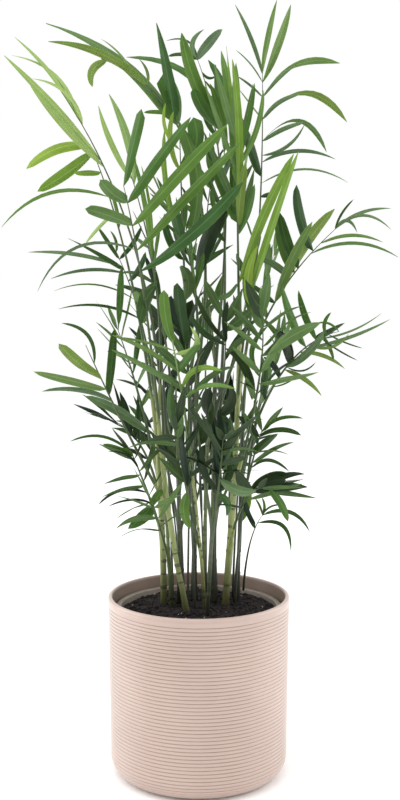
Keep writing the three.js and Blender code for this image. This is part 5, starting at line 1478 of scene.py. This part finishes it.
@dataclass
class Canes:
    """The stems: slim ringed canes, each with the sheaths of its fronds and a closed young spear on top."""

    sides: int = 14
    step: float = 1.5
    start: float = 136.0
    ridge: float = 0.16
    sheath_sides: int = 10
    sheath_rows: tuple[int, int] = (12, 9)
    sheath_length: float = 34.0
    sheath_reach: Pair = (0.035, 0.17)
    spear_length: Pair = (26.0, 46.0)
    shoots: int = 12
    shoot_field: tuple[Pair, Pair] = ((-26, -10), (32, 36))
    shoot_height: Pair = (90.0, 210.0)
    shoot_gap: float = 4.2
    scar_gap: Pair = (11.0, 24.0)
    scar_width: float = 1.3
    sway: float = 0.35
    sway_waves: Pair = (17.0, 23.0)
    seed: int = 7

    def make(self) -> None:
        """Builds the canes one by one, then all the sheaths, all the spears and all the shoots."""
        canes = {look: look.value.make() for look in CaneLook}
        ring = CANE_RING.make()
        for number, (name, stem) in enumerate(STEMS.items()):
            skin = Skin()
            self._cane(skin, stem, np.random.default_rng(self.seed + number))
            skin.build(f"cane_{name}", [canes[stem.look], ring], [f"stem_{name}"])
        self._sheaths(list(canes.values()))
        self._spears(canes[CaneLook.GREEN])
        self._shoots(canes[CaneLook.DARK])

    def _cane(self, skin: Skin, stem: Stem, rng: np.random.Generator) -> None:
        """One cane, whose radius rises to a ridge at each leaf scar and dips above it.

        At a distance d above a scar it is multiplied by 1 + ridge e^(-(d / 0.9)^2) and by
        1 - 0.06 e^(-((d - 2) / 1.1)^2).

        Args:
            skin: The mesh it goes into.
            stem: Its sizes.
            rng: Draws for its scars and its slight bends.
        """
        top = stem.top[2] - 1
        count = int((top - self.start) / self.step)
        height = np.linspace(self.start, top, count)
        scars = np.cumsum(rng.uniform(*self.scar_gap, 24)) + self.start + rng.uniform(0, 8)
        gap = height[:, None] - scars
        nearest = gap[np.arange(count), np.abs(gap).argmin(axis=1)]
        points, radius = stem.at(height)
        sway = self.sway * np.sin(height[:, None] / np.array(self.sway_waves) + rng.uniform(0, 6, 2))
        points[:, :2] += sway * np.clip((height[:, None] - self.start) / 20, 0, 1)
        radius = radius * (1 + self.ridge * np.exp(-((nearest / 0.9) ** 2)))
        radius = radius * (1 - 0.06 * np.exp(-(((nearest - 2) / 1.1) ** 2)))
        ringed = (np.abs((nearest[:-1] + nearest[1:]) / 2) < self.scar_width).astype(int)[None, :, None]
        skin.add_rod(points, radius, self.sides, (0.2, radius[-1] * 0.6), height * MM * 10, ringed)

    def _sheaths(self, finishes: list[bpy.types.Material]) -> None:
        """Every frond's sheath: it clasps the cane below the frond and runs on, narrowing, into its rib.

        Args:
            finishes: Those of the canes, in the order of their looks.
        """
        looks = list(CaneLook)
        skin = Skin()
        below, beyond = (np.linspace(0, 1, rows) for rows in self.sheath_rows)
        for frond in FRONDS.values():
            if not frond.stem:
                continue
            stem = STEMS[frond.stem]
            low, cane = stem.at(mix(frond.height - self.sheath_length, frond.height - 2, below))
            high, _ = frond.rib(mix(*self.sheath_reach, beyond))
            line = np.concatenate([low, high])
            for _ in range(2):
                line[1:-1] = (line[:-2] + 2 * line[1:-1] + line[2:]) / 4
            clasp = cane + 0.1 + 0.25 * np.sin(np.pi * below * 0.62)
            narrow = mix(clasp[-1] * 0.92, 1.15, beyond**0.55)
            radii = np.concatenate([clasp, narrow])
            skin.add_rod(line, radii, self.sheath_sides, (0.3, 0.6), looks=looks.index(stem.look))
        skin.build("sheaths", finishes, [])

    def _spears(self, finish: bpy.types.Material) -> None:
        """A closed young frond on each cane: a slim spindle that narrows by t^1.3 and leans with the cane.

        Args:
            finish: Their one finish.
        """
        rng = np.random.default_rng(self.seed + 90)
        skin = Skin()
        run = np.linspace(0, 1, 10)
        for stem in STEMS.values():
            top, radius = stem.at(np.array(stem.top[2] - 2.0))
            length = rng.uniform(*self.spear_length)
            lean = np.array([stem.top[0] - stem.foot[0], stem.top[1] - stem.foot[1], 0]) / 200
            way = unit(np.array([*rng.uniform(-0.12, 0.12, 2), 1.0]) + lean)
            line = top + run[:, None] * way * length
            skin.add_rod(line, mix(float(radius) * 0.95, 0.3, run**1.3), 8, (1.0, 0.8))
        skin.build("young_spears", [finish], [])

    def _shoots(self, finish: bpy.types.Material) -> None:
        """Young shoots among the canes: thin stalks that lean out and swell to a closed leaf below their tip.

        The radius goes straight from 1.1 to 0.4 and has 0.7 sin(pi t) on top, t being the share of the way
        from six tenths of the run to its end.

        Args:
            finish: Their one finish.
        """
        rng = np.random.default_rng(self.seed + 50)
        canes = np.array([stem.foot for stem in STEMS.values()], float)
        skin = Skin()
        run = np.linspace(0, 1, 24)
        radii = mix(1.1, 0.4, run) + 0.7 * np.sin(np.pi * np.clip((run - 0.6) / 0.4, 0, 1))
        feet = rng.uniform(*self.shoot_field, (60, 2))
        clear = np.linalg.norm(feet[:, None] - canes, axis=2).min(axis=1) > self.shoot_gap
        for foot in feet[clear][:self.shoots]:
            height = rng.uniform(*self.shoot_height)
            lean = foot * rng.uniform(0.1, 0.5) + rng.uniform(-8, 8, 2)
            x, y = (foot[k] + lean[k] * run**1.4 for k in (0, 1))
            line = np.stack([x, y, self.start + height * run], axis=-1)
            skin.add_rod(line, radii, 8, (0.2, 1.0))
        skin.build("young_shoots", [finish], [])


# ------------------------------------------------------------------------------------------ fronds


@dataclass
class Leaflets:
    """The leaflets of a frond as arrays: where each starts, the frond's frame there, and its own bearing."""

    start: Array
    along: Array
    right: Array
    up: Array
    side: Array
    length: Array
    width: Array
    angle: Array
    lift: Array
    roll: Array
    droop: Array
    sky: Array
    sway: Array
    curl: Array
    look: Array
    shape: Array

    def taken(self, which: Array) -> "Leaflets":
        """Only the leaflets that a mask picks."""
        return Leaflets(**{part.name: getattr(self, part.name)[which] for part in fields(self)})


@dataclass
class Blades:
    """Leaflets ready for a skin: lines and headings as (blades, stations, 3), and one row for the rest."""

    centres: Array
    ahead: Array
    face: Array
    width: Array
    curl: Array
    shape: Array
    look: Array


@dataclass
class Foliage:
    """All fronds: their ribs, and their leaflets by zone, as folded and veined blades.

    Curl is how far a blade twists at most along its length, in degrees, and late the power by which the
    hanging sets in along it. Finer and slimmer are the counts and widths of a wild frond's leaflets over
    those of a plain one, and lost the share of them that is missing. The pairs from stray_place to
    most_width hold the figure of a plain frond and that of a wild one. Closing is how far a blade's end
    points lie before and past its line.
    """

    rib_sides: int = 8
    rib_rows: int = 22
    rib_radii: Pair = (1.35, 0.25)
    stagger: float = 0.22
    fan_power: float = 2.2
    lift: float = 0.15
    middle_swell: float = 0.12
    late: float = 1.7
    curl: float = 40.0
    stations: int = 13
    thickness: Pair = (0.34, 0.14)
    fold: Pair = (38.0, 12.0)
    finer: float = 1.35
    slimmer: float = 0.86
    stiffest: float = 0.75
    lost: float = 0.15
    stray_place: Pair = (0.1, 0.5)
    stray_length: Pair = (0.14, 0.5)
    stray_angle: Pair = (10.0, 50.0)
    stray_lift: Pair = (0.25, 0.9)
    stray_roll: Pair = (50.0, 120.0)
    stray_sky: Pair = (0.0, 0.35)
    least_hang: Pair = (0.7, 0.0)
    most_hang: Pair = (1.3, 1.8)
    least_width: Pair = (0.8, 0.6)
    most_width: Pair = (1.15, 1.35)
    tip_width: float = 0.09
    closing: Pair = (0.8, 0.6)

    def make(self) -> None:
        """Builds the ribs and then each zone's leaflets."""
        self._ribs()
        numbers = {name: number for number, name in enumerate(FRONDS)}
        kinds = [(tone, *pair) for tone, row in LEAF_COLOURS.items() for pair in zip(LEAF_KINDS, row)]
        finishes = [leaf_finish(*kind).make() for kind in kinds]
        for zone, members in ZONES.items():
            skin = Skin()
            for name in members:
                if FRONDS[name].rule:
                    self.add(skin, self.hung(self.spread(FRONDS[name], FRONDS[name].rule, numbers[name])))
            self.add(skin, self.lone([leaf for leaf in LONE_LEAVES if leaf.frond in members]))
            skin.build(f"leaflets_{zone}", finishes, [f"frond_{name}" for name in members])

    def _ribs(self) -> None:
        """Every rib as a slim tube that narrows from foot to tip and is flattened on its upper side."""
        skin = Skin()
        share = np.linspace(0.04, 1, self.rib_rows)
        angle = circle_angles(self.rib_sides)
        for frond in FRONDS.values():
            points, along, right, up = frond.sides(share)
            radius = mix(*self.rib_radii, share**1.3) * (1.0 if frond.stem else 0.8)
            flat = 1 - 0.35 * np.clip(np.sin(angle), 0, 1) * frond.upper()
            circle = np.cos(angle)[:, None] * right[:, None] + (np.sin(angle) * flat)[:, None] * up[:, None]
            rings = points[:, None] + radius[:, None, None] * circle
            ends = np.stack([points[0] - along[0], points[-1] + along[-1] * 0.5])
            skin.add_tubes(rings[None], ends[None], along=share, looks=int(frond.pale))
        nodes = [f"frond_{name}" for name in FRONDS]
        skin.build("ribs", [RIB_GREEN.make(), RIB_PALE.make()], nodes)

    def spread(self, frond: Frond, rule: Rule, number: int) -> Leaflets:
        """Deals out a frond's leaflets by the solids' rule, with more and slimmer pairs on the wilder fronds.

        Five draws a leaflet set its place, length, swing, lift and roll. With order o from 0 at the lowest
        pair to 1 at the highest, its place is bare + spacing . (pair + stagger . side . (1 - o) + stray), its
        length goes from the side's first to its last figure times 0.92 + 0.12 sin(pi o), and its angle to the
        rib goes from first to last with o^2.2.

        Args:
            frond: Its rib.
            rule: Its leaflets.
            number: Its place in the table, which seeds the draws.

        Returns:
            The leaflets.
        """
        wild = rule.wild
        pairs = round(rule.pairs * mix(1, self.finer, wild))
        draws = Draws(9001 + number * 131).take(pairs * 10).reshape(pairs * 2, 5) - 0.5
        own = np.random.default_rng(500 + number)
        pair = np.repeat(np.arange(pairs), 2)
        side = np.tile([-1.0, 1.0], pairs)
        order = pair / (pairs - 1)
        coarse = np.rint(order * (rule.pairs - 1)).astype(int)
        lacking = np.where(side < 0, np.isin(coarse, rule.left_out), np.isin(coarse, rule.right_out))
        lacking |= own.uniform(size=len(side)) < self.lost * wild
        spacing = (1 - frond.bare) / (pairs - 1)
        offset = self.stagger * side * (1 - order) + mix(*self.stray_place, wild) * draws[:, 0]
        place = np.clip(frond.bare + spacing * (pair + offset), frond.bare * 0.9, 1)
        first, last = np.where(side < 0, 0, 2), np.where(side < 0, 1, 3)
        sizes, angles = np.array(rule.length), np.array(rule.angle)
        length = mix(sizes[first], sizes[last], order) * (1 + mix(*self.stray_length, wild) * draws[:, 1])
        length = length * (0.92 + self.middle_swell * np.sin(np.pi * order))
        angle = mix(angles[first], angles[last], order**self.fan_power)
        angle = angle + mix(*self.stray_angle, wild) * draws[:, 2]
        hang = rule.droop * (1 - self.stiffest * order**3)
        hang = hang * own.uniform(mix(*self.least_hang, wild), mix(*self.most_hang, wild), len(side))
        width = rule.width * rule.slim * mix(1, self.slimmer, wild)
        width = width * own.uniform(mix(*self.least_width, wild), mix(*self.most_width, wild), len(side))
        tone = TONES.index(rule.tone) + own.choice([-1, 0, 1], len(side), p=(0.2, 0.65, 0.15))
        tone = np.clip(tone, 0, TONES.index(LIGHT))
        start, along, right, up = frond.sides(place)
        leaflets = Leaflets(
            start=start,
            along=along,
            right=right,
            up=up * frond.upper(),
            side=side,
            length=length,
            width=width,
            angle=angle,
            lift=self.lift + mix(*self.stray_lift, wild) * draws[:, 3],
            roll=mix(*self.stray_roll, wild) * draws[:, 4],
            droop=hang,
            sky=rule.sky + mix(*self.stray_sky, wild) * own.uniform(-1, 1, len(side)),
            sway=own.uniform(0.0, 0.3, len(side)),
            curl=mix(-self.curl, self.curl, own.uniform(0, 1, len(side))) * side,
            look=len(LEAF_KINDS) * tone + self._kinds(own, len(side)),
            shape=own.uniform([0.5, 0.62], [0.8, 0.95], (len(side), 2)),
        )
        return leaflets.taken(~lacking)

    @staticmethod
    def _kinds(rng: np.random.Generator, count: int) -> Array:
        """Plain for half of the leaflets, and cool or warm for a quarter each."""
        return rng.choice(3, count, p=(0.5, 0.25, 0.25))

    def hung(self, leaflets: Leaflets) -> Blades:
        """The lines of leaflets that hang by the solids' rule.

        The heading at share s is the unit vector of first + hang s^late down + 2 sway s (s - 0.55) along,
        where first leaves the rib at the leaflet's angle.

        Args:
            leaflets: Where they start and how they lie.

        Returns:
            The blades.
        """
        angle, side = np.radians(leaflets.angle)[:, None], leaflets.side[:, None]
        first = leaflets.along * np.cos(angle) + leaflets.right * side * np.sin(angle)
        first = unit(first + leaflets.up * leaflets.lift[:, None])
        hang = leaflets.droop * np.maximum(0.15, np.hypot(first[:, 0], first[:, 1]))
        face = turn_about(leaflets.up, first, np.radians(leaflets.roll))
        sky = unit(-DOWN - first * first[:, 2:])
        face = unit(mix(face, sky, leaflets.sky[:, None]))

        def heading(at: Array) -> Array:
            """The unit directions of every leaflet.

            Args:
                at: Shares of its length.

            Returns:
                The directions.
            """
            fall = hang[:, None, None] * (at**self.late)[:, None] * DOWN
            drift = leaflets.sway[:, None, None] * (at * (at - 0.55) * 2)[:, None] * leaflets.along[:, None]
            return unit(first[:, None] + fall + drift)

        share = np.linspace(0, 1, self.stations)
        steps = heading((share[1:] + share[:-1]) / 2) * (leaflets.length / (self.stations - 1))[:, None, None]
        run = np.concatenate([np.zeros_like(steps[:, :1]), np.cumsum(steps, 1)], 1)
        return Blades(
            centres=leaflets.start[:, None] + run,
            ahead=heading(share),
            face=face,
            width=leaflets.width,
            curl=leaflets.curl,
            shape=leaflets.shape,
            look=leaflets.look,
        )

    def lone(self, leaves: list[Lone]) -> Blades:
        """The lines of lone leaflets, each bent until its middle stands one arch beside the straight line.

        Args:
            leaves: The leaflets.

        Returns:
            The blades.
        """
        rng = np.random.default_rng(len(leaves))
        foot = np.array([FRONDS[leaf.frond].rib(np.array(leaf.share))[0] for leaf in leaves])
        tip = np.array([leaf.tip for leaf in leaves], float)
        chord = unit(tip - foot)
        aside = np.array([[leaf.arch] for leaf in leaves]) * unit(np.cross(FRONT, chord))
        bend = (foot + tip) / 2 + 2 * aside
        face = unit(FRONT - chord * np.sum(chord * FRONT, axis=1, keepdims=True))
        face = turn_about(face, chord, np.radians([leaf.face for leaf in leaves]))
        share = np.linspace(0, 1, self.stations)[:, None]
        centres, ahead = bent_line(foot[:, None], bend[:, None], tip[:, None], share)
        width = np.array([leaf.width for leaf in leaves], float)
        tone = np.array([TONES.index(leaf.tone) for leaf in leaves])
        look = len(LEAF_KINDS) * tone + self._kinds(rng, len(leaves))
        curl = rng.uniform(-20, 20, len(leaves))
        return Blades(centres, ahead, face, width, curl, np.array([leaf.shape for leaf in leaves]), look)

    def add(self, skin: Skin, blades: Blades) -> None:
        """Adds blades, each a closed folded section carried along its line.

        The half width is W / 2 . s^a (1 - s)^b over its own greatest value, the edges lie below the midrib by
        the fold, which eases from 38 to 12 degrees, and the blade turns about its line by curl (s - 0.25).

        Args:
            skin: The mesh they go into.
            blades: Their lines, widths and looks. The look three past a tone's first is its underside.
        """
        share = np.linspace(0, 1, self.stations)
        centres, ahead = blades.centres, blades.ahead
        across = unit(np.cross(np.broadcast_to(blades.face[:, None], ahead.shape), ahead))
        across = turn_about(across, ahead, np.radians(blades.curl)[:, None] * (share - 0.25))
        top = np.cross(ahead, across)
        early, late = blades.shape[:, :1], blades.shape[:, 1:]
        whole = early + late
        most = (early / whole) ** early * (late / whole) ** late
        swell = share**early * (1 - share) ** late / most
        half = blades.width[:, None, None] / 2 * np.clip(swell, self.tip_width, 1)[..., None]
        fold = np.tan(np.radians(mix(*self.fold, np.minimum(share * 2.2, 1))))
        thick = mix(*self.thickness, share)
        wide = np.array([-1.0, -0.5, 0.0, 0.5, 1.0, 0.0])
        drop = np.array([-1.0, -0.5, 0.0, -0.5, -1.0, 0.0])
        bulge = np.array([0.0, 0.07, 0.0, 0.07, 0.0, 0.0])
        keel = np.array([0.0, 0.0, 0.0, 0.0, 0.0, -1.0])
        x, z = half * wide, half * (fold[:, None] * drop + bulge) + thick[:, None] * keel
        rings = centres[:, :, None] + x[..., None] * across[:, :, None] + z[..., None] * top[:, :, None]
        before, past = self.closing
        ends = np.stack([centres[:, 0] - ahead[:, 0] * before, centres[:, -1] + ahead[:, -1] * past], axis=1)
        kinds = len(LEAF_KINDS)
        looks = np.broadcast_to(blades.look[:, None, None], (len(centres), self.stations - 1, 6)).copy()
        looks[..., 4:] += kinds - 1 - looks[..., 4:] % kinds
        skin.add_tubes(rings, ends, np.array([0.0, 0.25, 0.5, 0.75, 1.0, 1.5, 2.0]), share, looks, (0, 4))


# ------------------------------------------------------------------------------------------ studio


@dataclass
class Studio:
    """A pale floor that runs far back, even daylight from all round, and soft lamps on both sides and above.

    The camera's figures and the lamps' are metres, degrees, watts and millimetres of lens.
    """

    height: float = 0.436
    distance: float = 1.05
    aside: float = 0.00105
    pitch: float = 6.7
    lens: float = 58.5
    sensor: float = 36.0

    def make(self) -> None:
        """Builds the floor, the daylight, the lamps and the camera."""
        self._floor()
        self._daylight()
        self._lamp("left_lamp", (-1.3, 0.15, 0.7), (0, 0, 0.35), 1.2, 10)
        self._lamp("right_lamp", (1.3, 0.15, 0.7), (0, 0, 0.35), 1.2, 9)
        self._lamp("top_lamp", (-0.2, -0.4, 1.7), (0, 0, 0.3), 1.0, 8)
        self._camera()

    def _floor(self) -> None:
        """The floor, a shallow disc of 20 metres' radius whose top is at 0."""
        thick, hub, edge = 20.0, 2000.0, 20000.0
        outline = np.array([[hub, -thick], [edge, -thick], [edge, 0.0], [hub, 0.0], [300.0, 0.0]])
        skin = Skin()
        skin.add_tubes(turned(outline, 96), on_axis(-thick, 0.0))
        mesh = skin.mesh("floor")
        board = Board("floor_pale")
        board.set(Base_Color=(1.0, 1.0, 1.0, 1.0), Roughness=0.9, Specular_IOR_Level=0.0)
        mesh.materials.append(board.material)
        placed("floor", mesh)

    def _daylight(self) -> None:
        """Even white light from all round."""
        world = bpy.data.worlds.new("daylight")
        world.use_nodes = True
        sky = next(node for node in world.node_tree.nodes if node.bl_idname == "ShaderNodeBackground")
        sky.inputs["Color"].default_value = (1.0, 1.0, 1.0, 1.0)
        sky.inputs["Strength"].default_value = 1.0
        bpy.context.scene.world = world
        bpy.context.scene.view_settings.view_transform = "Standard"

    def _lamp(self, name: str, place: Point, aim: Point, size: float, power: float) -> None:
        """A square soft lamp that looks at a point.

        Args:
            name: Its name.
            place: Where it hangs.
            aim: The point it looks at.
            size: Its side in metres.
            power: Its power in watts.
        """
        data = bpy.data.lights.new(name, "AREA")
        data.size = size
        data.energy = power
        lamp = placed(name, data)
        lamp.location = place
        lamp.visible_camera = False
        lamp.rotation_euler = Vector(np.array(place) - aim).to_track_quat("Z", "Y").to_euler()

    def _camera(self) -> None:
        """The camera, level with the middle of the leaves and pitched a little down."""
        data = bpy.data.cameras.new("camera")
        data.lens = self.lens
        data.sensor_width = self.sensor
        data.sensor_fit = "AUTO"
        camera = placed("camera", data)
        camera.location = (self.aside, -self.distance, self.height)
        camera.rotation_euler = (math.radians(90 - self.pitch), 0, 0)
        bpy.context.scene.camera = camera


# ------------------------------------------------------------------------------------------ the plant


def main() -> None:
    """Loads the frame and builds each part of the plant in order."""
    logging.basicConfig(level=logging.INFO, format="%(message)s")
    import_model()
    for part in (Studio(), Pot(), GrowPot(), Soil(), Canes(), Foliage()):
        part.make()
    bpy.context.view_layer.update()


if __name__ == "__main__":
    main()
